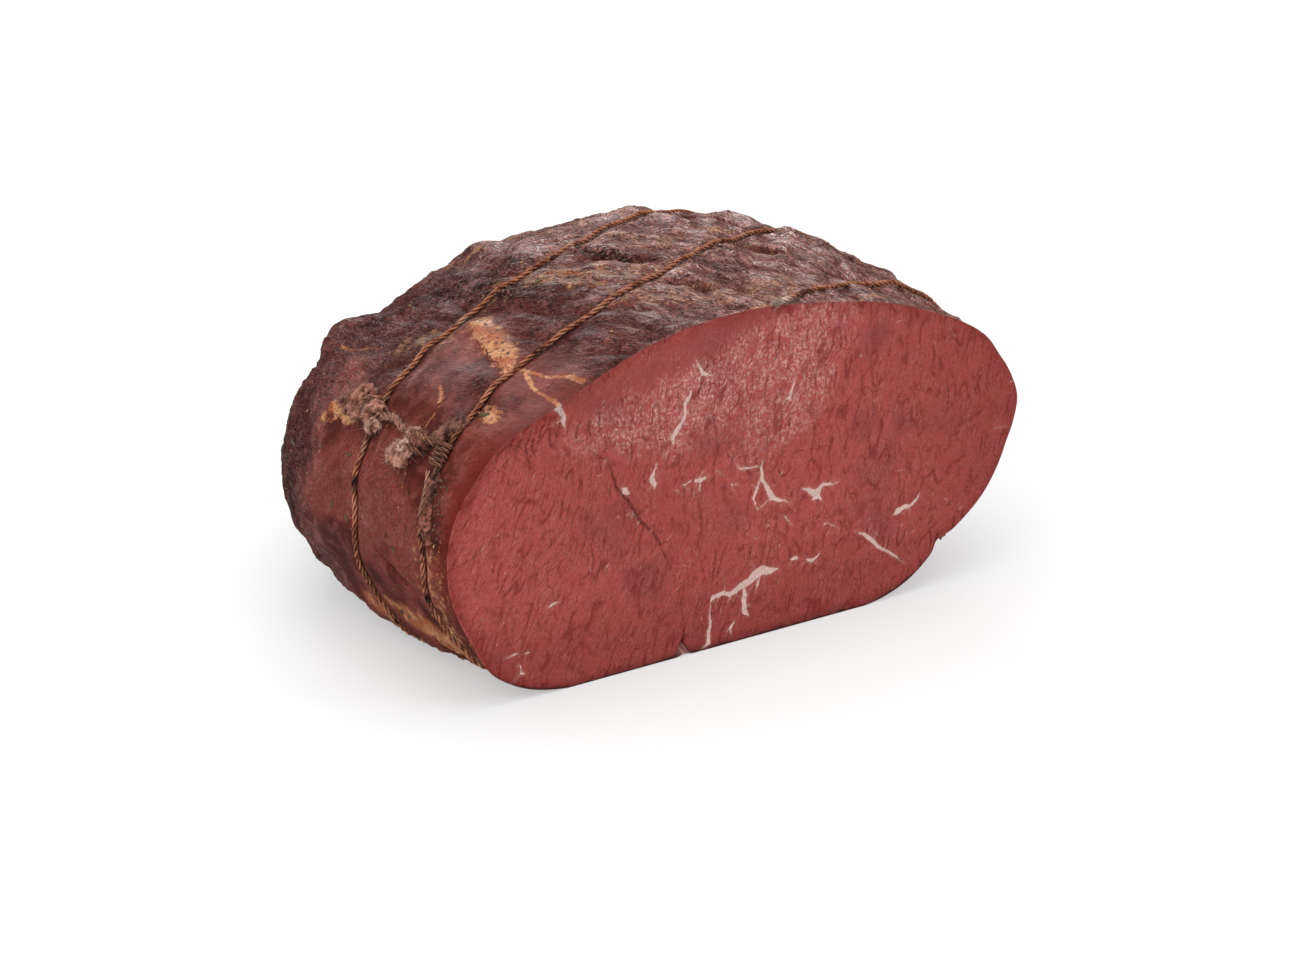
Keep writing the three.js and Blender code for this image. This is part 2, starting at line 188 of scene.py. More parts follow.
@dataclass(frozen=True)
class Muscle:
    """Outer form of the muscle: the cut's outline carried back along sections and closed on a tip.

    A turn counts outline rows clockwise as the cut is looked at, from the lower left. A station counts
    sections from the cut: 1 is the front string, 2 the rear string and the last is the tip.
    """

    # Across, up, and depth of the front string behind the cut.
    outline: Array = field(default_factory=lambda: np.array([
        [-52, 0, 5.5], [-71, 6.5, 8], [-79.5, 18.5, 13], [-84.6, 31, 11],
        [-84.2, 44, 11], [-78.5, 54.6, 13.5], [-69, 63.5, 15], [-53.8, 69.9, 20.5],
        [-28.5, 79.5, 23], [-2.6, 82.8, 32], [24.7, 80.5, 48], [48.7, 75.2, 59],
        [72.4, 64.5, 61], [83.8, 49.7, 61.5], [84.2, 39.2, 59.5], [75.8, 22.7, 53.5],
        [62, 11.8, 45.5], [48.4, 2.6, 39.5], [30, -0.5, 31.5], [-10, -0.5, 15.5],
    ]))
    # Depth, sideways shift, width share, height share, lift off the floor.
    sections: Array = field(default_factory=lambda: np.array([
        [0, 0, 1, 1, 0], [31.2, 4.6, 1.055, 1.041, 0.3], [61.5, 0.9, 0.999, 1.08, -2.4],
        [98.9, -12.3, 0.771, 0.889, 2], [121.8, -17.7, 0.47, 0.61, 8], [134, -20, 0.26, 0.36, 18.5],
    ]))
    # Turn, station, spread in turns, spread in stations, rise.
    swellings: tuple = (
        (6.95, 3.12, 0.45, 0.25, 4.2), (3, 2.9, 0.8, 0.4, 0.6), (5, 2.9, 1.2, 0.5, -1),
        (7.9, 3, 0.9, 0.5, -1.4), (8.9, 2.8, 0.4, 0.22, 2.8), (10.2, 2.35, 0.5, 0.3, 1.6),
        (5.5, 1.5, 2.5, 0.3, 1), (11.1, 0.85, 0.7, 0.3, 1.6),
    )
    # Bites out of the cut's edge: across, up, reach, depth.
    bites: tuple = (
        (62.5, 10.5, 2.8, 2.2), (-18.8, -1.0, 2.6, 1.3), (78.0, 57.0, 4.0, 0.5), (84.5, 33.0, 3.0, 0.5),
    )
    middle: tuple[float, float] = (5.0, 38.0)
    face_height: float = 83.0
    tip_depth: float = 138.0
    tip_shift: float = -21.0
    groove_depth: float = 0.8
    groove_reach: float = 1.5

    @property
    def tip_station(self) -> int:
        """Station of the tip."""
        return len(self.sections)

    def outline_at(self, turn: Array) -> Array:
        """Across, up and string depth of the outline at a turn, by a closed Catmull-Rom curve.

        Args:
            turn: place round the muscle.

        Returns:
            Across, up and string depth in the last axis.
        """
        count = len(self.outline)
        wrapped = np.mod(turn, count)
        first = np.floor(wrapped).astype(int)
        around = np.stack([(first + k) % count for k in (-1, 0, 1, 2)])
        return catmull(self.outline, around, wrapped - first)

    def section_at(self, station: Array) -> Array:
        """Row of the sections at a station, by a Catmull-Rom curve with straight run-outs.

        Args:
            station: place along the muscle.

        Returns:
            The sections' five values in the last axis.
        """
        rows = self.sections
        padded = np.vstack([2.0 * rows[0] - rows[1], rows, 2.0 * rows[-1] - rows[-2]])
        held = np.clip(station, 0.0, len(rows) - 1 - 1e-9)
        first = np.floor(held).astype(int)
        return catmull(padded, np.stack([first + k for k in range(4)]), held - first)

    def smooth(self, turn: Array, station: Array) -> Array:
        """The muscle without relief.

        Args:
            turn: place round the muscle.
            station: place along the muscle, of the same shape.

        Returns:
            Points. Past the last section both width and height shrink as a quarter circle does.
        """
        across, up, string_depth = np.moveaxis(self.outline_at(turn), -1, 0)
        depth, shift, width, height, lift = np.moveaxis(self.section_at(station), -1, 0)
        closing = np.clip(station - len(self.sections) + 1, 0.0, 1.0)
        shrink = np.sqrt(1.0 - closing**2)
        middle = 0.5 * self.face_height * height
        lean = width * shrink / self.sections[1, 2] * (string_depth - self.sections[1, 0])
        x = shift + (self.tip_shift - shift) * closing + width * shrink * across
        z = lift + middle + shrink * (height * up - middle)
        back = depth + (self.tip_depth - depth) * closing + lean
        return np.stack([x, np.where(station < 1.0, station * string_depth, back), z], axis=-1)

    def outward(self, turn: Array, station: Array) -> Array:
        """Outward normals of the smooth muscle, from differences to either side.

        Args:
            turn: place round the muscle.
            station: place along it.

        Returns:
            Unit vectors.
        """
        step = 1e-3
        ahead = self.smooth(turn, np.minimum(station + step, self.tip_station - step))
        behind = self.smooth(turn, np.maximum(station - step, 0.0))
        around = self.smooth(turn + step, station) - self.smooth(turn - step, station)
        return unit(np.cross(around, ahead - behind))

    def from_string(self, turn: Array, station: Array, string: int) -> Array:
        """Millimetres along the muscle from a string to a station, less than 0 in front of the string.

        Args:
            turn: place round the muscle.
            station: place along it.
            string: station of the string.

        Returns:
            Millimetres, less than 0 in front of the string.
        """
        behind = self.sections[string + 1, 0] - self.sections[string, 0]
        front_gap = self.sections[2, 0] - self.sections[1, 0]
        ahead = self.outline_at(turn)[..., 2] if string == 1 else front_gap
        return (station - string) * np.where(station < string, ahead, behind)

    def groove(self, turn: Array, station: Array) -> Array:
        """Depth of the furrows that the strings press: a bell curve of the distance to each string."""
        away = [self.from_string(turn, station, string) / self.groove_reach for string in (1, 2)]
        return self.groove_depth * np.maximum(np.exp(-(away[0] ** 2)), np.exp(-(away[1] ** 2)))

    def swelling(self, turn: Array, station: Array, point: Array) -> Array:
        """Height of the muscle's lumps: bells round named places, and two products of sine waves.

        Args:
            turn: place round the muscle.
            station: place along it.
            point: the smooth muscle's point there.

        Returns:
            Heights in millimetres.
        """
        count = len(self.outline)
        height = np.zeros(turn.shape)
        for turn_at, station_at, turn_spread, station_spread, rise in self.swellings:
            turned = np.mod(turn - turn_at + 1.5 * count, count) - 0.5 * count
            far = (turned / turn_spread) ** 2 + ((station - station_at) / station_spread) ** 2
            height = height + rise * np.exp(-far)
        x, y, z = np.moveaxis(point, -1, 0)
        broad = np.sin(0.21 * x + 0.13 * z + 1.3) * np.sin(0.17 * y + 0.11 * z)
        narrow = np.sin(0.41 * x - 0.23 * y + 0.3) * np.sin(0.37 * z + 0.19 * y + 2.1)
        return height + np.minimum(4.0 * station, 1.0) * (0.45 * broad + 0.35 * narrow)

    def over(self, turn: Array, station: Array, lift: Array | float = 0.0, floor: float = 0.0) -> Array:
        """Points at a height over the swollen surface without string furrows, none below a floor height.

        Args:
            turn: place round the muscle.
            station: place along it.
            lift: height over the surface.
            floor: lowest height of a point.

        Returns:
            Points in millimetres.
        """
        point = self.smooth(turn, station)
        height = self.swelling(turn, station, point) + lift
        point = point + self.outward(turn, station) * np.asarray(height)[..., None]
        point[..., 2] = np.maximum(point[..., 2], floor)
        return point

    def bitten(self, point: Array) -> Array:
        """Points moved towards the cut's middle by bells round the bites, less so further behind the cut.

        Args:
            point: points of the muscle.

        Returns:
            The moved points.
        """
        x, y, z = np.moveaxis(point, -1, 0)
        inward = unit(np.stack([self.middle[0] - x, np.zeros(x.shape), self.middle[1] - z], axis=-1))
        depth = np.zeros(x.shape)
        for across, up, reach, bite in self.bites:
            depth = depth + bite * np.exp(-((x - across) ** 2 + (z - up) ** 2) / reach**2)
        return point + inward * (depth * np.exp(-((y / 5.0) ** 2)))[..., None]

    def even_turns(self, count: int) -> Array:
        """Turns that share out the cut's edge evenly, starting under the muscle where nothing shows.

        Args:
            count: number of turns.

        Returns:
            The turns in order.
        """
        fine = np.linspace(0.0, len(self.outline), 4001) + 18.5
        edge = self.outline_at(fine)[:, :2]
        run = np.concatenate([[0.0], np.cumsum(np.linalg.norm(np.diff(edge, axis=0), axis=1))])
        return np.interp(np.linspace(0.0, run[-1], count, endpoint=False), run, fine)


# -------- meshes from arrays


@dataclass
class Skin:
    """A piece's surface as arrays: points, faces of four and three corners, and values kept at the points."""

    points: Array
    quads: Array
    triangles: Array = field(default_factory=lambda: np.zeros((0, 3), int))
    values: Fields = field(default_factory=dict)
    creased: Array | None = None

    @staticmethod
    def joined(skins: list["Skin"]) -> "Skin":
        """All the skins as one, with the values that the first one names.

        Args:
            skins: skins in the order of their points.

        Returns:
            One skin.
        """
        starts = np.cumsum([0] + [len(skin.points) for skin in skins[:-1]])
        return Skin(
            np.concatenate([skin.points for skin in skins]),
            np.concatenate([skin.quads + start for skin, start in zip(skins, starts)]),
            np.concatenate([skin.triangles + start for skin, start in zip(skins, starts)]),
            {name: np.concatenate([skin.values[name] for skin in skins]) for name in skins[0].values},
        )

    def piece(self, name: str, finish: Material, slot: Slot, *nodes: str) -> bpy.types.Object:
        """Makes the mesh and its object, hangs the object under the body's empty and hides the solids of the
        frame that it stands for.

        Args:
            name: name of the piece.
            finish: its material.
            slot: the record's material slot that it belongs to; not used.
            nodes: solids of the frame that it stands for.

        Returns:
            The object, at the origin, with its place in its mesh.
        """
        mesh = bpy.data.meshes.new(name)
        corners = np.concatenate([self.quads.ravel(), self.triangles.ravel()]).astype(np.int32)
        sizes = np.repeat([4, 3], [len(self.quads), len(self.triangles)])
        mesh.vertices.add(len(self.points))
        mesh.loops.add(len(corners))
        mesh.polygons.add(len(sizes))
        mesh.vertices.foreach_set("co", ((self.points + CENTRE) * METRE).astype(np.float32).ravel())
        mesh.loops.foreach_set("vertex_index", corners)
        mesh.polygons.foreach_set("loop_start", (np.cumsum(sizes) - sizes).astype(np.int32))
        mesh.polygons.foreach_set("use_smooth", np.ones(len(sizes), bool))
        mesh.update(calc_edges=True)
        for label, value in self.values.items():
            kind, key = ("FLOAT", "value") if value.ndim == 1 else ("FLOAT_VECTOR", "vector")
            kept = mesh.attributes.new(label, kind, "POINT")
            kept.data.foreach_set(key, value.astype(np.float32).ravel())
        if self.creased is not None:
            ends = np.zeros(2 * len(mesh.edges), np.int32)
            mesh.edges.foreach_get("vertices", ends)
            mesh.edges.foreach_set("use_edge_sharp", self.creased[ends.reshape(-1, 2)].all(axis=1))
        mesh.materials.append(finish)
        made = bpy.data.objects.new(name, mesh)
        bpy.context.scene.collection.objects.link(made)
        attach(made, BODY)
        if nodes:
            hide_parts(*nodes)
        faces = 2 * len(self.quads) + len(self.triangles)
        log.info("%s: %d points, %d triangles", name, len(self.points), faces)
        return made


def sheet_quads(columns: int, rows: int, closed: bool) -> Array:
    """Corners of the faces of a grid whose points run along rows first.

    Args:
        columns: points in the first direction.
        rows: points in the second direction.
        closed: whether the last column joins the first.

    Returns:
        Faces that look to where the first direction crossed with the second points.
    """
    across = np.arange(columns if closed else columns - 1)[:, None]
    along = np.arange(rows - 1)[None, :]
    after = (across + 1) % columns
    here, there = across * rows + along, after * rows + along
    return np.stack([here, there, there + 1, here + 1], axis=-1).reshape(-1, 4)


def fan(ring: Array, hub: int) -> Array:
    """Triangles from each step of a ring of points to one hub point."""
    return np.stack([np.full(len(ring), hub), ring, np.roll(ring, -1)], axis=-1)


def directions(paths: Array, hints: Array, closed: bool) -> tuple[Array, Array]:
    """Directions square to paths: the hint turned square to each path, and what is square to both.

    Args:
        paths: points, in order along the last axis but one.
        hints: rough direction of the first.
        closed: whether each path's end joins its start.

    Returns:
        Both directions as unit vectors.
    """
    around = np.roll(paths, -1, axis=-2) - np.roll(paths, 1, axis=-2)
    tangent = unit(around if closed else np.gradient(paths, axis=-2))
    side = unit(hints - np.sum(hints * tangent, axis=-1, keepdims=True) * tangent)
    return side, np.cross(tangent, side)


def tubes(paths: Array, radii: Array, hints: Array, sides: int, closed: bool = False) -> Skin:
    """Round tubes along a batch of equally long paths.

    Each ring is path + radius (cos a * side + sin a * third), with side and third the path's directions.

    Args:
        paths: points, shape (tubes, steps, 3).
        radii: radius at each point, shape (tubes, steps).
        hints: rough direction of angle 0, of a shape that fits the paths.
        sides: corners round a ring.
        closed: whether each path's end joins its start; otherwise each end is closed by a fan.

    Returns:
        The tubes, with "thread" holding cos a, sin a and the distance along the path.
    """
    count, steps = paths.shape[:2]
    side, third = directions(paths, hints, closed)
    angle = 2.0 * np.pi * np.arange(sides) / sides
    turned = np.cos(angle)[:, None] * side[:, :, None] + np.sin(angle)[:, None] * third[:, :, None]
    rings = paths[:, :, None] + radii[:, :, None, None] * turned
    run = np.cumsum(np.linalg.norm(np.diff(paths, axis=1, prepend=paths[:, :1]), axis=-1), axis=1)
    thread = np.empty(rings.shape)
    thread[..., 0] = np.cos(angle)
    thread[..., 1] = np.sin(angle)
    thread[..., 2] = run[:, :, None]
    steps_on = np.arange(steps if closed else steps - 1)[:, None]
    corner = np.arange(sides)[None, :]
    here, there = steps_on * sides, (steps_on + 1) % steps * sides
    after = (corner + 1) % sides
    one = np.stack([here + corner, here + after, there + after, there + corner], axis=-1).reshape(-1, 4)
    starts = np.arange(count)[:, None, None] * steps * sides
    quads = (one[None] + starts).reshape(-1, 4)
    points, threads = rings.reshape(-1, 3), thread.reshape(-1, 3)
    if closed:
        return Skin(points, quads, values={"thread": threads})
    hubs = len(points) + np.arange(2 * count).reshape(2, count)
    first = np.arange(sides)
    turned_on = np.roll(first, -1)
    base = np.arange(count)[:, None] * steps * sides
    last = base + (steps - 1) * sides
    near = np.stack([np.repeat(hubs[0], sides), (base + turned_on).ravel(), (base + first).ravel()], axis=-1)
    far = np.stack([np.repeat(hubs[1], sides), (last + first).ravel(), (last + turned_on).ravel()], axis=-1)
    ends = np.concatenate([paths[:, 0], paths[:, -1]])
    end_threads = np.concatenate([thread[:, 0, 0], thread[:, -1, 0]])
    return Skin(
        np.concatenate([points, ends]), quads, np.concatenate([near, far]),
        {"thread": np.concatenate([threads, end_threads])},
    )


def lumps(places: Array, frames: Array, sizes: Array, seed: int) -> Skin:
    """One crooked twenty-sided lump at each place.

    Args:
        places: middles of the lumps.
        frames: three unit vectors for each lump, shape (lumps, 3, 3).
        sizes: half size of each lump along its three vectors.
        seed: draw that makes the corners uneven.

    Returns:
        The lumps as one skin, with "tone" a random share that is the same all over a lump.
    """
    golden = (1.0 + math.sqrt(5.0)) / 2.0
    corners = np.array([
        [-1, golden, 0], [1, golden, 0], [-1, -golden, 0], [1, -golden, 0], [0, -1, golden], [0, 1, golden],
        [0, -1, -golden], [0, 1, -golden], [golden, 0, -1], [golden, 0, 1], [-golden, 0, -1], [-golden, 0, 1],
    ]) / math.hypot(1.0, golden)
    faces = np.array([
        [0, 11, 5], [0, 5, 1], [0, 1, 7], [0, 7, 10], [0, 10, 11], [1, 5, 9], [5, 11, 4], [11, 10, 2],
        [10, 7, 6], [7, 1, 8], [3, 9, 4], [3, 4, 2], [3, 2, 6], [3, 6, 8], [3, 8, 9], [4, 9, 5], [2, 4, 11],
        [6, 2, 10], [8, 6, 7], [9, 8, 1],
    ])
    rng = np.random.default_rng(seed)
    uneven = rng.uniform(0.65, 1.25, (len(places), 12, 1)) * corners * sizes[:, None, :]
    points = places[:, None] + uneven @ frames
    tone = np.repeat(rng.uniform(0.0, 1.0, len(places)), 12)
    starts = 12 * np.arange(len(places))[:, None, None]
    return Skin(points.reshape(-1, 3), np.zeros((0, 4), int), (faces + starts).reshape(-1, 3), {"tone": tone})


# -------- the dried crust


# Patches of golden dried fat, as paths over the crust: x, y, z, half width.
GOLD_PATCHES = (
    ((-46, 44, 77, 3.2), (-48, 38, 76.5, 3.6), (-50, 31, 75, 3.8), (-52, 25, 73.5, 3.2),
     (-53, 22, 72.5, 2)),
    ((-27, 46, 84, 1.6), (-23, 44, 85, 2), (-18, 39, 86, 1.4)),
    ((-27, 38, 84, 1.2), (-24, 35, 85, 1.4), (-19, 32, 85, 1)),
    ((-75, 65, 56, 1.8), (-75, 59, 57, 2.1), (-76, 52, 57, 1.2)),
    ((-76, 67, 53, 1.2), (-76, 63, 54, 1)),
    ((-65, 14, 66, 1.6), (-66, 9.5, 67, 1.8)),
    ((30, 62, 84, 0.9), (36, 55, 84, 1)),
)
# Thin golden strands of dried fat: x, y, z, half width.
GOLD_STRANDS = (
    ((-52, 23, 72, 0.4), (-51, 18, 72, 0.7), (-50, 12, 73, 0.4), (-47, 6, 74, 0.6), (-46, 2, 74, 0.9)),
    ((-50.5, 19, 72, 0.5), (-53, 14, 72, 0.7), (-54, 8, 71, 0.4), (-53.5, 3, 70, 0.6),
     (-54, 0.5, 70, 0.5)),
    ((-60, 85, 64, 0.6), (-60, 80, 64, 0.5), (-59, 69, 67, 0.2)),
    ((-66, 31, 69, 0.2), (-68, 27, 67, 0.6), (-70, 25, 64, 0.2)),
    ((0, 1, 83, 0.4), (5, 0.6, 83, 0.6), (8, 0.6, 82.5, 0.3)),
    ((36, 3, 78.5, 0.4), (44, 4, 76.5, 0.7), (52, 8, 73, 0.3)),
    ((0, 35, 86, 0.4), (4, 34, 85, 0.6), (1, 25, 86, 0.4)),
    ((-9, 16, 85, 0.5), (-5, 13, 84, 0.7), (-2, 9, 84, 0.4)),
    ((-78, 60, 46, 0.1), (-81, 48, 40, 0.25), (-84, 34, 37, 0.1)),
    ((-74, 39, 62, 0.1), (-79, 36, 54, 0.2), (-83, 34, 44, 0.1)),
    ((-70, 25, 66, 0.1), (-78, 24, 58, 0.2), (-84, 20, 46, 0.1)),
)
# Wider places where golden clumps lie scattered: x, y, z, half width.
GOLD_CLOUDS = (
    ((-34, 52, 82, 4), (-25, 44, 85, 6), (-14, 36, 86, 5), (-4, 32, 86, 3)),
    ((-20, 22, 83, 3), (-6, 16, 85, 4), (6, 10, 84, 3), (22, 12, 84, 3)),
    ((-4, 60, 87, 2.5), (6, 50, 88, 3.5), (18, 50, 87, 2.5)),
    ((26, 46, 86, 3), (34, 40, 85, 2.5)),
    ((-58, 60, 70, 2.5), (-52, 52, 73, 3)),
    ((-84, 8, 36, 2), (-82, 8, 22, 3), (-78, 8, 14, 3)),
    ((-20, 96, 80, 6), (10, 90, 86, 6), (40, 90, 76, 5)),
)
# Bands of rendered fat along the lower left edge.
LOW_FAT = (
    ((-79, 36, 15, 2), (-77, 26, 14, 3.2), (-75, 15, 13, 3.6), (-70, 10, 8, 2.4), (-62, 6, 3.5, 1.2)),
    ((-76, 50, 12, 2), (-72, 43, 8, 2.8), (-70, 36, 6, 2.6), (-66, 24, 4, 2.4), (-58, 12, 2, 1.2)),
)
# Crevices between bundles of muscle: x, y, z, half width.
CREVICES = (
    ((-8, 63, 86, 0.3), (-10, 52, 88, 0.8), (-9, 44, 88, 1.1), (-5, 38, 87.5, 1.6), (-1, 38, 87.5, 2)),
    ((36, 72, 85, 0.3), (43, 64, 83.5, 0.9), (49, 56, 81, 1), (52, 47, 80.5, 0.5)),
    ((22, 60, 87, 0.3), (30, 50, 86.5, 0.7), (37, 38, 84.5, 0.9), (41, 28, 82, 0.5)),
    ((-20, 78, 87, 0.4), (-12, 72, 88, 0.8), (-2, 68, 88, 0.5)),
    ((60, 62, 77, 0.3), (66, 50, 74.5, 0.8), (68, 40, 73, 0.4)),
    ((-44, 96, 72, 0.4), (-38, 88, 78, 0.8), (-30, 84, 82, 0.4)),
    ((-8, 26, 86, 0.4), (2, 16, 85.5, 0.7), (10, 8, 84, 0.3)),
    ((-85, 30, 31, 0.25), (-84, 24, 29, 0.5), (-82, 19, 25, 0.25)),
    ((20, 100, 84, 0.4), (34, 92, 80, 0.8), (44, 84, 76, 0.4)),
    ((-60, 112, 52, 0.4), (-52, 116, 58, 0.8), (-40, 118, 64, 0.4)),
)
# Where spice crumbs lie thick: x, y, z, reach, share of the draw.
CRUMB_BEDS = (
    (((-41, 69, 76, 4), (-36, 62, 79, 4.5), (-36, 50, 80.5, 4), (-31, 44, 82, 3)), 1),
    (((-50, 84, 70, 4.5), (-42, 78, 76, 5), (-30, 72, 82, 4), (-22, 60, 84, 3)), 0.9),
    (((-10, 52, 87, 3), (-6, 40, 87, 3), (0, 38, 87, 2)), 0.9),
    (((8, 40, 87, 2.5), (12, 26, 86, 3), (6, 20, 85.5, 2)), 0.8),
    (((18, 42, 86.5, 2), (26, 34, 85.5, 2)), 0.7),
    (((-60, 22, 70, 2.5), (-66, 14, 66, 2)), 0.7),
    (((-30, 6, 79.5, 1.5), (-12, 4, 82.5, 1.5), (2, 3, 83, 1.2)), 0.5),
    (((-66, 92, 54, 4), (-76, 84, 48, 4), (-81, 76, 40, 3.5), (-80, 82, 26, 3)), 0.45),
    (((-74, 40, 10, 2.5), (-66, 24, 3, 2.5), (-56, 6, 1, 1.5)), 0.9),
    (((-79, 9, 52, 1.8), (-83, 6, 42, 1.6)), 0.6),
    (((20, 96, 82, 6), (50, 84, 68, 6)), 0.5),
    (((-50, 118, 50, 7), (-10, 128, 50, 8), (20, 116, 55, 6)), 0.5),
)


@dataclass(frozen=True)
class Crust:
    """The dried, smoked outside of the muscle, from the cut's edge to the tip."""

    muscle: Muscle
    columns: int = 860
    # Lattice size across and along the fibres, and height, of each size of wrinkle.
    wrinkles: tuple = ((12.0, 48.0, 2.7), (5.2, 22.0, 1.4), (2.2, 10.0, 0.6), (1.0, 4.5, 0.22))
    cap_depth: float = 14.0
    # Name, first and last station and number of rings of each band.
    bands: tuple = (
        ("crust_front", 0.0, 1.0, 108), ("crust_middle", 1.0, 2.0, 108), ("crust_rear", 2.0, 6.0, 110),
    )

    def fibres(self, point: Array) -> Array:
        """Place across, along and above the fibres, which run along the muscle and slant on its left.

        Args:
            point: places on the smooth muscle.

        Returns:
            Places in the fibres' frame.
        """
        x, y, z = np.moveaxis(point, -1, 0)
        slant = smoothstep(70.0, -80.0, x)
        return np.stack([x + 0.75 * slant * np.minimum(y, 60.0), 1.1 * y - 0.3 * x, z], axis=-1)

    def zones(self, station: Array, point: Array, normal: Array) -> Fields:
        """Shares of the crust's different kinds of surface.

        Args:
            station: place along the muscle.
            point: place on the smooth muscle.
            normal: its outward direction.

        Returns:
            "top" where the grain runs in wrinkles, "side" where it is smooth and red, "rim" where the
            rear shoulder is rough and "low" near the floor.
        """
        wander = 0.2 * Grain(11)(point / 14.0)
        left = smoothstep(-0.35, -0.75, normal[..., 0] + wander)
        corner = smoothstep(-34.0, -52.0, point[..., 0] + 30.0 * wander) * smoothstep(2.3, 1.7, station)
        rim = smoothstep(2.4, 2.85, station + wander)
        low = smoothstep(15.0, 6.0, point[..., 2] + 12.0 * wander)
        side = np.maximum(left, corner) * (1.0 - rim)
        return {"top": 1.0 - side, "side": side, "rim": rim, "low": low}

    def fields(self, point: Array, normal: Array) -> Fields:
        """Distances in millimetres to the marks on the crust, FAR at most, and the crumbs' density.

        Args:
            point: places on the swollen muscle.
            normal: outward directions there.

        Returns:
            Fields by name.
        """
        shift = 1.6 * grains(point / 5.0, 21, 22, 23)
        shift = shift - normal * np.sum(shift * normal, axis=-1, keepdims=True)
        far = point + shift
        beds = [share * smoothstep(2.5, -2.5, path_field(far, path, normal)) for path, share in CRUMB_BEDS]
        fields = {
            "gold": nearest(far, GOLD_PATCHES, normal),
            "cloudy": nearest(far, GOLD_CLOUDS, normal),
            "strand": nearest(point + 0.35 * shift, GOLD_STRANDS, normal),
            "lowfat": nearest(far, LOW_FAT, normal),
            "crevice": nearest(far, CREVICES, normal),
            "cut": point[..., 1],
        }
        clamped = {name: np.clip(value, -FAR, FAR) for name, value in fields.items()}
        return clamped | {"crumbs": np.maximum.reduce(beds)}

    def relief(self, point: Array, zones: Fields, fields: Fields) -> Array:
        """Height of the crust's own relief.

        Wrinkles are the absolute value of noise stretched along the muscle's grain, which gives round
        ridges with sharp valleys between them. Crevices are bells of the distance to their paths.

        Args:
            point: place on the smooth muscle.
            zones: shares from zones().
            fields: distances from fields().

        Returns:
            Heights in millimetres, nothing at the cut's edge.
        """
        fibre = self.fibres(point) + 3.0 * grains(point / 15.0, 30, 31, 32)
        ridges = np.zeros(point.shape[:-1])
        for number, (across, along, height) in enumerate(self.wrinkles):
            lattice = fibre / (across, along, 1.6 * across)
            ridges += height * (np.abs(Grain(33 + number)(lattice)) - 0.27)
        rough = np.abs(Grain(37)(point / 3.6)) + 0.55 * np.abs(Grain(38)(point / 1.6)) - 0.4
        folds = np.abs(Grain(39)(point / (12.0, 12.0, 18.0))) + 0.35 * np.abs(Grain(40)(point / 5.0)) - 0.4
        faint = 0.22 * Grain(41)(point / 9.0) + 0.07 * Grain(42)(point / 2.2)
        crumbly = np.clip(0.8 * fields["crumbs"] + 0.25 * zones["rim"] + 0.8 * zones["low"], 0.0, 1.0)
        total = (0.06 + 0.94 * zones["top"]) * (1.0 - 0.35 * zones["rim"]) * ridges + faint
        total += crumbly * rough + 1.2 * zones["rim"] * folds
        total -= 1.7 * np.exp(-((np.maximum(fields["crevice"], 0.0) / 0.9) ** 2)) * (fields["crevice"] < 4.0)
        total += 0.25 * smoothstep(0.6, -0.8, fields["gold"])
        return total * smoothstep(0.0, 1.4, point[..., 1])

    def shape(self, turn: Array, station: Array) -> tuple[Array, Array, Fields]:
        """The crust's surface.

        Args:
            turn: place round the muscle.
            station: place along the muscle, of the same shape.

        Returns:
            Points, outward directions, and the values that the finish reads.
        """
        point = self.muscle.smooth(turn, station)
        normal = self.muscle.outward(turn, station)
        zones = self.zones(station, point, normal)
        fields = self.fields(point + normal * self.muscle.swelling(turn, station, point)[..., None], normal)
        height = self.muscle.swelling(turn, station, point) - self.muscle.groove(turn, station)
        away = [np.abs(self.muscle.from_string(turn, station, string)) for string in (1, 2)]
        near = np.minimum(*away)
        relief = self.relief(point, zones, fields) * (0.35 + 0.65 * smoothstep(0.5, 3.5, near))
        placed = self.muscle.bitten(point + normal * (height + relief)[..., None])
        placed[..., 2] = np.maximum(placed[..., 2], 0.0)
        values = zones | fields | {"relief": relief, "string": np.clip(near, 0.0, FAR)}
        return placed, normal, values | {"fibre": self.fibres(point)}

    def band(self, first: float, last: float, count: int) -> Skin:
        """The crust between two stations as a closed skin, its two ends closed by cones inside the meat.

        Args:
            first: station of the front ring.
            last: station of the rear ring.
            count: rings from front to rear.

        Returns:
            The skin, creased at its front ring, and at its rear ring when that lies before the last section.
        """
        stations = np.linspace(first, min(last, self.muscle.tip_station - 1e-3), count)
        turn, station = np.broadcast_arrays(self.muscle.even_turns(self.columns)[:, None], stations[None, :])
        points, _, values = self.shape(turn, station)
        front = np.arange(self.columns) * count
        rear = front + count - 1
        flat = points.reshape(-1, 3)
        hubs = np.array([flat[front].mean(axis=0), flat[rear].mean(axis=0)])
        hubs[:, 1] += (self.cap_depth, 0.0)
        total = len(flat)
        triangles = np.concatenate([fan(front, total)[:, ::-1], fan(rear, total + 1)])
        creased = np.zeros(total + 2, bool)
        creased[front] = True
        creased[rear] = last < self.muscle.tip_station - 1
        kept = {}
        for name, value in values.items():
            rows_of = value.reshape(total, -1)
            kept[name] = np.vstack([rows_of, rows_of[[0, -1]]]).squeeze()
        return Skin(np.vstack([flat, hubs]), sheet_quads(self.columns, count, True), triangles, kept, creased)

    def build(self, finish: Material) -> None:
        """Makes a piece of each band."""
        for name, first, last, count in self.bands:
            self.band(first, last, count).piece(name, finish, Slot.MEAT, "meat")


# -------- the cut face


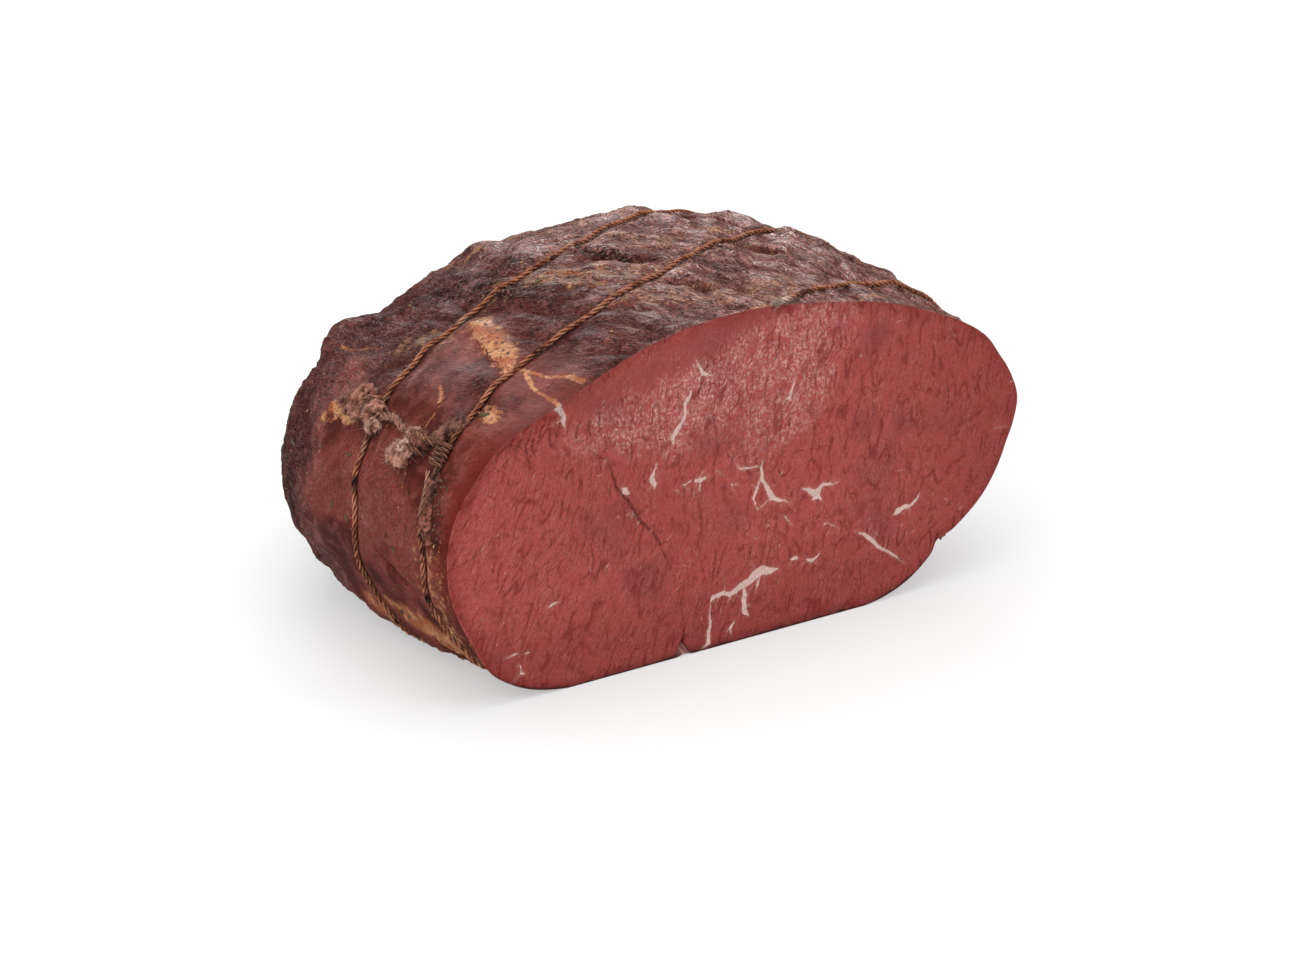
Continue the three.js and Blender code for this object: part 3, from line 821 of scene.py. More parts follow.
# Veins of fat on the cut, as paths over it: x, z, full width.
VEINS = (
    ((-15.5, 74, 0.6), (-14, 71, 0.8), (-13.3, 69.7, 1.2), (-11.8, 69, 0.6), (-9.5, 68.2, 0.4)),
    ((-13.3, 69.7, 0.9), (-14.4, 68.6, 0.6), (-14, 67.5, 0.4)),
    ((-16.4, 66.2, 0.9), (-17, 65, 1), (-18.6, 63, 1.1), (-18.7, 61, 0.8), (-19.6, 59, 0.8),
     (-21, 57.7, 1.6), (-22.2, 55.7, 1.3), (-21.9, 54, 0.6)),
    ((-27.4, 65.3, 0.3), (-26.8, 61.7, 0.5), (-26.8, 60.5, 0.9)),
    ((-43.3, 63.5, 0.4), (-39.6, 62.8, 0.5)),
    ((-55.6, 72.4, 1.8), (-54.9, 70.9, 2.3), (-54, 68.4, 2.2), (-53, 65.8, 1.5), (-52.2, 63.6, 0.6)),
    ((-26.8, 50.4, 0.5), (-27.7, 48.7, 0.7), (-28, 46.5, 1.6), (-27.4, 45.4, 1.2), (-27.7, 44.2, 0.4)),
    ((-19, 43.6, 1.5), (-17.2, 43.8, 1.4)),
    ((-15.7, 43.7, 1.8), (-14, 43.6, 1.4), (-12.8, 43.8, 0.7), (-11.9, 44.2, 0.4)),
    ((-14.3, 43.4, 1), (-14.3, 41.9, 0.7), (-14.3, 40.5, 0.4)),
    ((-14.3, 43.4, 0.9), (-13.4, 45.2, 0.4), (-12.5, 46, 0.3)),
    ((-21.9, 43, 0.5), (-20.7, 42, 0.7)),
    ((-9.3, 45, 0.4), (-6.3, 42.7, 0.7)),
    ((-4.2, 40.3, 1), (-2, 40, 0.4)),
    ((-3, 45.2, 0.5), (-2, 44, 0.6), (4.8, 42.8, 0.6)),
    ((5, 44.5, 0.6), (5, 40.4, 1.3), (7, 36.6, 1.1), (8, 34.4, 1.8), (10.5, 33.2, 0.8), (13.7, 31.9, 0.4)),
    ((5, 40, 0.9), (3.3, 37.4, 0.9), (2, 35.7, 0.7), (3, 34, 0.5), (3.4, 32.1, 0.8)),
    ((7.6, 34.5, 0.7), (3.4, 32.2, 0.6)),
    ((17, 35, 0.5), (20.8, 32.7, 2.4), (23.3, 30.7, 0.5)),
    ((20.2, 31.4, 1), (20.8, 32.7, 2), (23.8, 34.7, 0.9), (26.3, 34.2, 0.5), (28.2, 34.6, 0.7)),
    ((45.5, 22, 0.7), (47, 22.7, 2.2), (49, 23.1, 1.2), (51, 23.2, 0.8), (52.8, 24.4, 0.9),
      (54.2, 26, 0.5)),
    ((33.5, 20.2, 0.5), (36.7, 18.7, 0.9), (38.7, 17.1, 1.5), (42.3, 13.8, 0.9), (46.8, 10.9, 0.7),
      (50, 8.6, 0.4)),
    ((23.4, 23.9, 0.5), (24.4, 24.5, 0.5), (28.2, 22, 0.4)),
    ((13.7, 17.8, 0.7), (15, 17.8, 1.3), (16, 17.2, 0.6)),
    ((18, 16.6, 0.5), (19.4, 15.5, 1), (22, 16.2, 0.5), (22.6, 17.1, 0.4)),
    ((11, 29.2, 0.4), (12, 28.5, 0.6), (14, 26.2, 0.4)),
    ((-10.8, 12, 0.9), (-10.2, 13, 1.3), (-7.2, 13.6, 1.5), (-5, 12.7, 1.5), (-3.3, 13.3, 1.3),
      (-0.9, 14.2, 1.9),
     (1.2, 15.1, 2.1), (2.4, 16.1, 2.7), (4.2, 16.7, 2.9), (7, 15.8, 1.9), (10, 16, 0.9)),
    ((-5, 12.7, 1), (-5.4, 11.4, 0.4)),
    ((-0.7, 13.8, 2), (-0.6, 11.2, 1.9), (-0.7, 9, 1.7), (-0.5, 7.3, 1.7), (0.7, 5.6, 0.5)),
    ((3.9, 15.2, 1.4), (3.3, 13.3, 0.8), (3, 11.9, 0.4)),
    ((-10.8, 11.5, 0.8), (-10.8, 8, 0.5), (-10.4, 7, 0.7), (-10.8, 4.5, 1), (-11, 1.6, 1),
      (-12.2, 0.9, 0.9)),
    ((-3.6, 5.4, 0.5), (-4.7, 3.6, 0.8), (-4.4, 1.9, 0.4)),
    ((-57.9, 21.6, 0.4), (-56.2, 21.7, 0.7), (-54.6, 22.1, 0.4)),
    ((-75.8, 39.6, 0.5), (-74.9, 40.5, 0.4)),
    ((-69.5, 11.5, 0.6), (-67.5, 11.7, 0.6), (-65.6, 11.8, 0.4)),
    ((-64.2, 11.4, 0.7), (-63, 11.7, 1)),
    ((-65.6, 9, 0.3), (-65.4, 6.7, 0.8), (-64.3, 6.5, 0.4)),
    ((82.2, 49.1, 0.5), (84, 49.5, 0.6)),
    ((78, 38.5, 0.3), (81.8, 38, 0.6)),
    ((14.4, 64.2, 0.5), (13.5, 61.6, 0.6), (12.4, 58.8, 0.9), (11.2, 58.3, 0.4)),
    ((-36.8, 46.1, 0.9), (-35.7, 45.4, 1.7), (-34.6, 44.4, 1.6)),
    ((-44.7, 57.3, 0.5), (-43.6, 56.1, 0.6)),
    ((-41.6, 54, 0.8), (-41, 53, 0.6)),
    ((-33.1, 39.9, 1), (-32.6, 38.8, 0.8)),
)
# Seam between two muscles down the cut, ending in a notch at the lower edge: x, z, half width.
SEAM = (
    (-50, 61.5, -0.15), (-44.5, 56.5, -0.05), (-41, 53.5, 0.05), (-38, 46.5, 0.15), (-33.5, 41.5, 0.3),
    (-31, 37, 0.3), (-27, 32.5, 0.15), (-24.5, 28, 0.05), (-21.8, 22.4, -0.1), (-19.5, 15.5, -0.15),
    (-18.2, 7.5, -0.05), (-18.8, 3, 0.6), (-19.5, -1.5, 2),
)
# Strips of the cut where the sheen lies thickest, as coat gloss and as painted highlight lines: x, z, half
# width.
SHEEN = (
    ((26, 79, 5), (8, 71, 6), (-14, 63, 7), (-32, 60.5, 5), (-46, 62.5, 2.5)),
    ((18, 66, 6), (14, 57, 5), (4, 52, 4)),
)
# Smooth darker strip under the top left edge: x, z, half width.
SMOOTH_STRIP = ((-51.0, 68.0, 1.5), (-34.0, 72.5, 3.5), (-14.0, 77.0, 4.0), (6.0, 81.0, 2.0))


@dataclass(frozen=True)
class CutFace:
    """The face that the knife left, with its veins of fat, seams and bundles of muscle."""

    muscle: Muscle
    columns: int = 461
    lines: int = 205
    half_size: tuple[float, float] = (85.0, 41.0)
    back: float = 14.0
    flecks: int = 110
    vein_share: float = 0.42

    def turn_of(self, angle: Array) -> Array:
        """Turn of the outline whose direction from the middle, with both half sizes as 1, is an angle.

        Args:
            angle: angles seen from the middle.

        Returns:
            Turns of the outline.
        """
        turns = np.linspace(0.0, len(self.muscle.outline), 2001)
        edge = (self.muscle.outline_at(turns)[:, :2] - self.muscle.middle) / self.half_size
        around = -np.unwrap(np.arctan2(edge[:, 1], edge[:, 0]))
        wanted = around[0] + np.mod(-angle - around[0], 2.0 * np.pi)
        return np.interp(wanted, around, turns)

    def grid(self) -> tuple[Array, Array]:
        """Points over the face, and their share of the way from its middle to its edge.

        A square grid is rounded to a disc by x = u sqrt(1 - v v / 2), y = v sqrt(1 - u u / 2), and the
        disc is stretched along each ray to the cut's outline.

        Returns:
            Across and up, and the shares.
        """
        u = np.linspace(-1.0, 1.0, self.columns)[:, None]
        v = np.linspace(-1.0, 1.0, self.lines)[None, :]
        a, b = u * np.sqrt(1.0 - v * v / 2.0), v * np.sqrt(1.0 - u * u / 2.0)
        share = np.minimum(np.hypot(a, b), 1.0)
        edge = self.muscle.outline_at(self.turn_of(np.arctan2(b, a)))[..., :2]
        edge[..., 1] = np.maximum(edge[..., 1], 0.0)
        return np.array(self.muscle.middle) + share[..., None] * (edge - self.muscle.middle), share

    def fleck_paths(self) -> list[Array]:
        """Small loose flecks of fat: seeded short strokes, bent and tapering from their middle.

        Returns:
            A path for each fleck.
        """
        rng = np.random.default_rng(5)
        spots = rng.uniform((-78.0, 5.0), (80.0, 76.0), (self.flecks, 2))
        heading, length = rng.normal(1.0, 0.8, self.flecks), rng.uniform(0.25, 1.1, self.flecks)
        width = rng.uniform(0.08, 0.2, self.flecks)
        step = np.stack([np.cos(heading), np.sin(heading)], axis=-1) * length[:, None]
        bend = np.random.default_rng(6).normal(0.0, 0.22, spots.shape)
        places = (spots - step, spots + bend, spots + step)
        halves = (0.2 * width, width, 0.2 * width)
        return list(np.stack([np.column_stack(pair) for pair in zip(places, halves)], axis=1))

    def vein_paths(self) -> list[Array]:
        """The veins with pointed ends, and thin bent twigs that leave their thick stretches.

        Returns:
            Paths of across, up and half width.
        """
        veins = [np.array(vein) * (1.0, 1.0, self.vein_share) for vein in VEINS]
        joints = np.concatenate([vein[1:-1] if len(vein) > 2 else vein[:1] for vein in veins])
        for vein in veins:
            vein[[0, -1], 2] *= 0.35
        rng = np.random.default_rng(9)
        thick = joints[joints[:, 2] > 0.3]
        root = np.concatenate([thick, thick[::2]])
        heading = rng.uniform(0.0, 2.0 * np.pi, len(root))
        step = rng.uniform(0.7, 1.7, (len(root), 1))
        aims = [np.stack([np.cos(heading + turn), np.sin(heading + turn)], axis=-1) for turn in (0.0, 0.5)]
        middle = root[:, :2] + step * aims[0]
        places = (root[:, :2], middle, middle + step * aims[1])
        halves = (0.13, 0.07, -0.02)
        rows_of = [np.column_stack([place, np.full(len(root), half)]) for place, half in zip(places, halves)]
        return veins + list(np.stack(rows_of, axis=1))

    def furrows(self, place: Array, left: Array) -> Array:
        """Creases between bundles: where stretched noise crosses 0, in two sizes, leaning to the right.

        Args:
            place: points of the flat face.
            left: share of the left muscle.

        Returns:
            Shares of a furrow, 0 to 1.
        """
        x, _, z = np.moveaxis(place, -1, 0)
        leaning = x - (0.16 + 0.3 * left) * z
        sway = grains(place / 7.0, 48, 49, 50)
        wide = np.abs(Grain(45)(np.stack([leaning / 4.2, 0.0 * z, z / 16.0], axis=-1) + 0.3 * sway))
        narrow = np.abs(Grain(46)(np.stack([leaning / 2.2, 0.0 * z, z / 6.0], axis=-1) + 0.3 * sway))
        patches = smoothstep(-0.2, 0.25, Grain(47)(place / 6.0))
        thin = smoothstep(0.2, 0.0, narrow) * smoothstep(-0.2, 0.3, Grain(51)(place / 4.0))
        return np.maximum(smoothstep(0.12, 0.0, wide) * patches, 0.7 * thin)

    def fields(self, flat: Array, share: Array) -> Fields:
        """Distances in millimetres to the marks on the face, and shares of its kinds of surface.

        Args:
            flat: across and up of each point.
            share: share of the way from the middle to the edge.

        Returns:
            The fields by name, with distances FAR at most.
        """
        place = np.stack([flat[..., 0], np.zeros(share.shape), flat[..., 1]], axis=-1)
        bend = grains(place / 2.2, 41, 42)
        wide_bend = grains(place / 9.0, 43, 44)
        bent = flat + 0.35 * bend + 0.4 * wide_bend
        seam_across, seam_up = np.array(SEAM)[::-1, :2].T
        left = smoothstep(28.0, -28.0, flat[..., 0] - np.interp(flat[..., 1], seam_up, seam_across))
        radius = np.hypot(flat[..., 0] - self.muscle.middle[0], flat[..., 1] - self.muscle.middle[1])
        fields = {
            "fat": nearest(bent, self.vein_paths()),
            "flecks": nearest(bent, self.fleck_paths()),
            "seam": path_field(bent, SEAM),
            "sheen": nearest(flat + 5.0 * wide_bend, SHEEN),
            "strip": path_field(flat + 2.5 * wide_bend, SMOOTH_STRIP),
            "edge": (1.0 - share) * radius / np.maximum(share, 1e-6),
        }
        fields = {name: np.clip(value, -FAR, FAR) for name, value in fields.items()}
        calm = 1.0 - smoothstep(1.5, -1.5, fields["strip"])
        return fields | {"left": left, "furrow": calm * self.furrows(place, left)}

    def skin(self) -> Skin:
        """The face as a closed skin: its relief in front, and a cone behind it inside the meat.

        Heights go into the meat along +Y: the muscle's slow swell, the seam as a bell of the distance
        to its path, the notch, the furrows, and noise stretched along the bundles.

        Returns:
            The skin, creased at its edge.
        """
        flat, share = self.grid()
        fields = self.fields(flat, share)
        x, z = flat[..., 0], flat[..., 1]
        inward = smoothstep(1.0, 0.975, share)
        place = np.stack([x, np.zeros(share.shape), z], axis=-1)
        leaning = x - (0.16 + 0.3 * fields["left"]) * z
        fibres = np.stack([leaning / 1.1, 0.0 * z, z / 2.6], axis=-1)
        depth = -0.7 * (1.0 - share) * np.sin(0.09 * x + 0.8) * np.sin(0.11 * z + 0.05 * x)
        ripple = 0.22 * Grain(52)(place / 11.0) + 0.08 * Grain(53)(place / 4.0) + 0.025 * Grain(54)(fibres)
        seam = 0.2 * np.exp(-((np.maximum(fields["seam"], 0.0) / 0.22) ** 2))
        notch = 2.8 * smoothstep(5.0, 1.0, z) * smoothstep(0.6, -0.6, fields["seam"])
        raised = 0.04 * smoothstep(0.2, -0.2, fields["fat"])
        depth = depth + inward * (ripple + seam + 0.16 * fields["furrow"] - raised) + notch
        points = self.muscle.bitten(np.stack([x, 0.0 * x, z], axis=-1))
        points[..., 1] = depth
        numbers = np.arange(share.size).reshape(share.shape)
        ring = np.concatenate([numbers[:-1, 0], numbers[-1, :-1], numbers[:0:-1, -1], numbers[0, :0:-1]])
        hub = np.array([[self.muscle.middle[0], self.back, self.muscle.middle[1]]])
        creased = np.zeros(share.size + 1, bool)
        creased[ring] = True
        kept = {name: np.append(value.ravel(), FAR) for name, value in fields.items()}
        weave = np.stack([leaning, 0.0 * z, z], axis=-1).reshape(-1, 3)
        kept["weave"] = np.vstack([weave, weave[:1]])
        triangles = fan(ring, share.size)[:, ::-1]
        quads = sheet_quads(self.columns, self.lines, False)
        return Skin(np.vstack([points.reshape(-1, 3), hub]), quads, triangles, kept, creased)

    def build(self, finish: Material) -> None:
        """Makes the face's piece."""
        self.skin().piece("cut_face", finish, Slot.MEAT, "meat")


# -------- the strings


@dataclass(frozen=True)
class Cord:
    """Twisted kitchen string: plies wound round a path."""

    plies: int = 3
    ply_radius: float = 0.3
    ply_offset: float = 0.37
    pitch: float = 6.4
    sides: int = 7

    def wound(self, path: Array, hints: Array, closed: bool = False, scale: float = 1.0) -> Skin:
        """Plies round a path: each follows path + offset (cos p * side + sin p * third), p growing evenly.

        Args:
            path: points of the middle of the cord.
            hints: rough direction of angle 0 at each point.
            closed: whether the path's end joins its start, with a whole number of twists.
            scale: size of the cord as a share of its full size.

        Returns:
            The plies as one skin, with "thread", and with "twist" 1 deep between the plies.
        """
        side, third = directions(path, hints, closed)
        run = np.cumsum(np.linalg.norm(np.diff(path, axis=0, prepend=path[:1]), axis=-1))
        length = run[-1] + (np.linalg.norm(path[0] - path[-1]) if closed else 0.0)
        twists = max(round(length / self.pitch), 1) if closed else length / self.pitch
        phase = 2.0 * np.pi * (run / length * twists + np.arange(self.plies)[:, None] / self.plies)
        turned = np.cos(phase)[..., None] * side + np.sin(phase)[..., None] * third
        paths = path + self.ply_offset * scale * turned
        radii = np.full(paths.shape[:2], self.ply_radius * scale)
        skin = tubes(paths, radii, np.broadcast_to(side, paths.shape), self.sides, closed)
        middle = np.tile(np.repeat(path, self.sides, axis=0), (self.plies, 1))
        apart = np.full(len(skin.points), self.ply_offset)
        apart[: len(middle)] = np.linalg.norm(skin.points[: len(middle)] - middle, axis=-1)
        skin.values["twist"] = smoothstep(0.6, 0.42, apart / scale)
        return skin


def cord_values(skin: Skin, soot_and_shade: Array | float, bleach_and_highlight: Array | float, felted: float = 0.0) -> Skin:
    """Keeps each point's share of soot and painted shade, of bleach and painted highlight, and of fluff, on a
    cord or wad.

    Args:
        skin: the cord or wad.
        soot_and_shade: share of soot and painted shade, for all or each point.
        bleach_and_highlight: share of paleness, from bleach and painted highlight.
        felted: share of fluff.

    Returns:
        The same skin.
    """
    for name, value in (("soot_and_shade", soot_and_shade), ("bleach_and_highlight", bleach_and_highlight), ("felted", felted)):
        skin.values[name] = np.clip(np.broadcast_to(value, len(skin.points)), 0.0, 1.0)
    skin.values.setdefault("twist", np.zeros(len(skin.points)))
    return skin


def tuft(starts: Array, heading: Array, length: float, spread: float, seed: int, radius: float) -> Skin:
    """Loose fibres, each a thin tube bent like part of a wave.

    Args:
        starts: where the fibres begin.
        heading: rough direction of each fibre.
        length: mean length.
        spread: how far the fibres turn off their heading.
        seed: draw of the fibres.
        radius: half thickness at the root.

    Returns:
        The fibres as one skin.
    """
    rng = np.random.default_rng(seed)
    count, steps = len(starts), 6
    aim = unit(heading + spread * rng.normal(size=(count, 3)))
    curl = rng.normal(size=(count, 3))
    t = np.linspace(0.0, 1.0, steps)[None, :, None]
    reach = length * rng.uniform(0.35, 1.2, (count, 1, 1))
    bend = 0.3 * reach * np.sin(2.6 * t + rng.uniform(0.0, 6.0, (count, 1, 1))) * t
    paths = starts[:, None] + reach * t * aim[:, None] + bend * curl[:, None] * 0.5
    paths[..., 2] = np.maximum(paths[..., 2], 0.1)
    radii = np.broadcast_to(radius * (1.0 - 0.55 * t[..., 0]), (count, steps))
    return tubes(paths, radii, np.broadcast_to(curl[:, None], paths.shape), 3)


@dataclass(frozen=True)
class Wad:
    """A crumpled lump of fluff, fat and crumbs round a knot."""

    turn: float
    station: float
    # Half size round the muscle, along it and outward.
    radii: Triple
    lift: float
    soot_and_shade: float
    bleach_and_highlight: float
    crumple: float
    fibres: int
    seed: int


@dataclass(frozen=True)
class Coil:
    """Cord coiled round a stretch of string at a knot."""

    start: tuple[float, float]
    end: tuple[float, float]
    reach: float
    rounds: float
    lift: float
    soot_and_shade: float


@dataclass(frozen=True)
class Roll:
    """A lumpy roll of crumbs or fluff that clings along a string."""

    start: tuple[float, float]
    end: tuple[float, float]
    half_width: float
    lift: float
    soot_and_shade: float
    bleach_and_highlight: float
    seed: int


@dataclass(frozen=True)
class Strings:
    """The two strings round the muscle, their knots and what clings to them."""

    muscle: Muscle
    cord: Cord = Cord()
    radius: float = 0.75
    sink: float = 0.12
    base_height: float = 0.85
    # Points round a loop, along a strand or roll, and along a coil.
    steps: int = 1150
    strand_steps: int = 90
    coil_steps: int = 160
    # Corners round a roll, and round and along a wad.
    roll_sides: int = 30
    wad_grid: tuple[int, int] = (84, 52)
    # Loose fibres on a loop, a strand and a roll.
    loop_fibres: int = 700
    strand_fibres: int = 160
    roll_fibres: int = 260
    knots: tuple = ((5.05, 1.13), (5.33, 2.08))
    front_wads: tuple = (
        Wad(5.16, 1.22, (2.7, 2.9, 2.5), 1.5, 0.75, 0, 0.35, 60, 61),
        Wad(4.86, 1.38, (3.2, 3.4, 2), 0.9, 0.15, 0.2, 1.1, 200, 62),
        Wad(4.95, 1.34, (1.6, 1.7, 1.5), 1.7, 0, 0.45, 0.9, 110, 63),
        Wad(4.76, 1.5, (1.7, 1.8, 1.2), 0.5, 0.2, 0.25, 1.1, 140, 64),
        Wad(5.22, 1.36, (1.9, 2.4, 1.3), 0.7, 0.3, 0.25, 0.9, 50, 65),
    )
    rear_wads: tuple = (
        Wad(5.42, 2.16, (4.2, 4.4, 2.3), 1, 0.3, 0.12, 1.2, 150, 66),
        Wad(5.3, 1.98, (3, 3.4, 2), 1, 0.2, 0.15, 1.1, 150, 67),
        Wad(5.1, 1.93, (1.9, 2.6, 1.4), 0.9, 0.1, 0.35, 1, 120, 68),
        Wad(5.3, 2.33, (2, 1.7, 1.3), 0.6, 0.6, 0.1, 1, 60, 69),
        Wad(5.6, 2.2, (1.6, 1.8, 1.5), 1.3, 0.5, 0.2, 1.2, 80, 70),
    )
    front_coils: tuple = (
        Coil((4.93, 1), (5.4, 1), 1.45, 5, 0.9, 0.55),
        Coil((5, 1.24), (5.34, 1.16), 2.7, 1.4, 1.4, 0.7),
    )
    rear_coils: tuple = (Coil((5.1, 2.0), (5.6, 2.1), 2.5, 1.6, 0.9, 0.35),)
    rolls: tuple = (
        Roll((5.2, 1.17), (5.9, 0.99), 1.9, 0.2, 0.95, 0.1, 81),
        Roll((4.85, 1), (4.2, 0.83), 1.35, -0.2, 0.95, 0, 84),
        Roll((4.3, 0.88), (3.6, 0.74), 1.6, -0.4, 0.6, 0, 87),
    )

    def loop(self, station: float) -> tuple[Array, Array]:
        """Points of the string round the muscle at a station, and the outward directions there.

        Args:
            station: station of the string.

        Returns:
            Points and directions.
        """
        turns = self.muscle.even_turns(self.steps)
        stations = np.full(self.steps, station)
        flat = self.muscle.over(turns, stations, -self.sink, self.base_height)
        stations = stations + 0.014 * Grain(75)(flat / 9.0)
        path = self.muscle.over(turns, stations, -self.sink + 0.2 * Grain(76)(flat / 6.0), self.base_height)
        return path, self.muscle.outward(turns, stations)

    def run(self, start: tuple, end: tuple, steps: int, lift: Array | float) -> tuple[Array, Array]:
        """Points over the crust from one turn and station to another, and the outward directions there.

        Args:
            start: first turn and station.
            end: last turn and station.
            steps: number of points.
            lift: height over the crust.

        Returns:
            Points and directions.
        """
        share = np.linspace(0.0, 1.0, steps)
        turn = start[0] + (end[0] - start[0]) * share
        station = start[1] + (end[1] - start[1]) * share
        return self.muscle.over(turn, station, lift, 0.3), self.muscle.outward(turn, station)

    def stained(self, skin: Skin) -> Skin:
        """Soot and bleach along a cord: patches of noise, with more soot round the left side and knots.

        Args:
            skin: the cord.

        Returns:
            The same skin.
        """
        patches = Grain(71)(skin.points / 7.0) + 0.6 * Grain(72)(skin.points / 2.5)
        turns, stations = (np.array(values) for values in zip(*self.knots))
        places = self.muscle.over(turns, stations)
        near = np.min(np.linalg.norm(skin.points[:, None] - places, axis=-1), axis=1)
        left = smoothstep(-60.0, -78.0, skin.points[:, 0])
        dark = smoothstep(0.45 - 0.4 * left, 0.9 - 0.4 * left, patches) + 0.8 * smoothstep(11.0, 4.0, near)
        return cord_values(skin, dark, 0.3 * smoothstep(0.2, 0.8, -patches))

    def fuzz(self, path: Array, hints: Array, count: int, seed: int, length: float = 1.6) -> Skin:
        """Short fibres that stand off a cord at random places.

        Args:
            path: middle of the cord.
            hints: outward directions.
            count: number of fibres.
            seed: draw of the fibres.
            length: mean length.

        Returns:
            The fibres.
        """
        rng = np.random.default_rng(seed)
        picked = rng.integers(0, len(path), count)
        around = unit(rng.normal(size=(count, 3)) + 0.6 * hints[picked])
        starts = path[picked] + self.radius * 0.8 * around
        return tuft(starts, around + 0.8 * rng.normal(size=(count, 3)), length, 0.5, seed, 0.04)

    def basis(self, turn: float, station: float, lift: float) -> tuple[Array, Array]:
        """A place over the crust, and unit vectors round, along and out of the muscle there.

        Args:
            turn: place round the muscle.
            station: place along it.
            lift: height over it.

        Returns:
            The place and three unit rows.
        """
        centre = self.muscle.over(np.array([turn]), np.array([station]), lift)[0]
        ahead = self.muscle.over(np.array([turn]), np.array([station + 0.08]), lift)[0]
        normal = self.muscle.outward(np.array([turn]), np.array([station]))[0]
        along = unit(ahead - centre - normal * ((ahead - centre) @ normal))
        return centre, np.stack([np.cross(along, normal), along, normal])

    def wad(self, wad: Wad) -> list[Skin]:
        """A crumpled ball: a sphere whose radius is folded by the absolute value of two sizes of noise.

        Its folds and underside are darkened as painted shade, and its crests lightened as painted highlight,
        over its own soot and bleach.

        Args:
            wad: its place, size and stains.

        Returns:
            The ball and its hairs.
        """
        centre, basis = self.basis(wad.turn, wad.station, wad.lift)
        columns, lines = self.wad_grid
        around = 2.0 * np.pi * np.arange(columns)[:, None] / columns
        down = np.pi * (1.0 - np.linspace(0.02, 0.98, lines))[None, :]
        level = np.sin(down)
        ball = np.broadcast_arrays(np.cos(around) * level, np.sin(around) * level, np.cos(down))
        ball = np.vstack([np.stack(ball, axis=-1).reshape(-1, 3), [[0.0, 0.0, -1.0], [0.0, 0.0, 1.0]]])
        scaled = ball * wad.radii
        folds = 0.42 - np.abs(Grain(wad.seed)(scaled / (2.8, 1.0, 1.8)))
        folds -= 0.5 * np.abs(Grain(wad.seed + 9)(scaled / (0.9, 2.2, 1.5)))
        points = centre + (scaled + ball * (wad.crumple * 1.8 * folds)[:, None]) @ basis
        points[:, 2] = np.maximum(points[:, 2], 0.3)
        front = np.arange(columns) * lines
        total = columns * lines
        triangles = np.concatenate([fan(front, total)[:, ::-1], fan(front + lines - 1, total + 1)])
        skin = Skin(points, sheet_quads(columns, lines, True), triangles, {"thread": scaled})
        tint = Grain(wad.seed + 18)(scaled / 2.0)
        # Painted shade in the folds and on the underside, and painted highlight on the crests, go into the
        # soot and bleach shares.
        under = smoothstep(0.55, -0.3, ball[:, 2])
        fold_and_under_shade = 0.9 * smoothstep(0.1, -0.2, folds) + 0.5 * under
        soot_and_shade = wad.soot_and_shade + 0.4 * tint + fold_and_under_shade * (1.0 - 0.5 * wad.bleach_and_highlight)
        bleach_and_highlight = wad.bleach_and_highlight * (0.6 + 0.8 * smoothstep(-0.1, 0.3, folds)) - 0.5 * np.maximum(tint, 0.0)
        rng = np.random.default_rng(wad.seed)
        picked = rng.integers(0, total, wad.fibres)
        heading = unit(points[picked] - centre) + 0.8 * rng.normal(size=(wad.fibres, 3))
        hairs = tuft(points[picked], heading, 2.1, 0.7, wad.seed + 27, 0.05)
        hairs = cord_values(hairs, 0.4 * wad.soot_and_shade, 0.3 + 0.7 * wad.bleach_and_highlight, 1.0)
        return [cord_values(skin, soot_and_shade, bleach_and_highlight, 1.0), hairs]

    def winding(self, coil: Coil) -> Skin:
        """Cord coiled round a stretch of string: its place is path + reach (cos p * out + sin p * across).

        Args:
            coil: its place, size and stain.

        Returns:
            The coiled cord.
        """
        path, hints = self.run(coil.start, coil.end, self.coil_steps, coil.lift)
        across = np.cross(unit(np.gradient(path, axis=0)), hints)
        phase = np.linspace(0.0, 2.0 * np.pi * coil.rounds, len(path))[:, None]
        wound = path + coil.reach * (np.cos(phase) * hints + np.sin(phase) * across)
        return cord_values(self.cord.wound(wound, wound - path, scale=0.8), coil.soot_and_shade, 0.15)

    def roll(self, roll: Roll) -> list[Skin]:
        """A tube whose half width rises and falls once along its length, folded by noise and half sunk.

        Args:
            roll: its place, size and stains.

        Returns:
            The tube and its hairs.
        """
        path, hints = self.run(roll.start, roll.end, self.strand_steps, roll.lift)
        swell = 0.3 + 0.7 * np.sin(np.pi * np.linspace(0.05, 0.95, self.strand_steps)) ** 0.7
        tube = tubes(path[None], roll.half_width * swell[None], hints[None], self.roll_sides)
        folds = 0.42 - np.abs(Grain(roll.seed)(tube.points / 1.9))
        folds -= 0.6 * np.abs(Grain(roll.seed + 1)(tube.points / 0.9))
        middle = np.repeat(path, self.roll_sides, axis=0)
        tube.points[: len(middle)] += unit(tube.points[: len(middle)] - middle) * folds[: len(middle), None]
        tube.points[:, 2] = np.maximum(tube.points[:, 2], 0.1)
        # Painted shade: the roll darkens in its folds, over its own soot.
        soot_and_shade = roll.soot_and_shade + 0.8 * smoothstep(0.0, -0.3, folds)
        rng = np.random.default_rng(roll.seed)
        picked = rng.integers(0, len(middle), self.roll_fibres)
        heading = tube.points[picked] - middle[picked]
        hairs = tuft(tube.points[picked], heading, 1.2, 0.9, roll.seed + 2, 0.045)
        fluff = cord_values(hairs, 0.6 * roll.soot_and_shade, roll.bleach_and_highlight + 0.2, 1.0)
        return [cord_values(tube, soot_and_shade, roll.bleach_and_highlight, 1.0), fluff]

    def knot(self, wads: tuple, coils: tuple) -> Skin:
        """A knot's coils and wads as one skin."""
        balls = [skin for wad in wads for skin in self.wad(wad)]
        return Skin.joined([self.winding(coil) for coil in coils] + balls)

    def split_strand(self) -> Skin:
        """The pale strand that has come loose below the front knot."""
        path, hints = self.run((4.8, 1.06), (4.02, 0.985), self.strand_steps, 0.55)
        return cord_values(self.cord.wound(path, hints, scale=0.8), 0.0, 0.25)

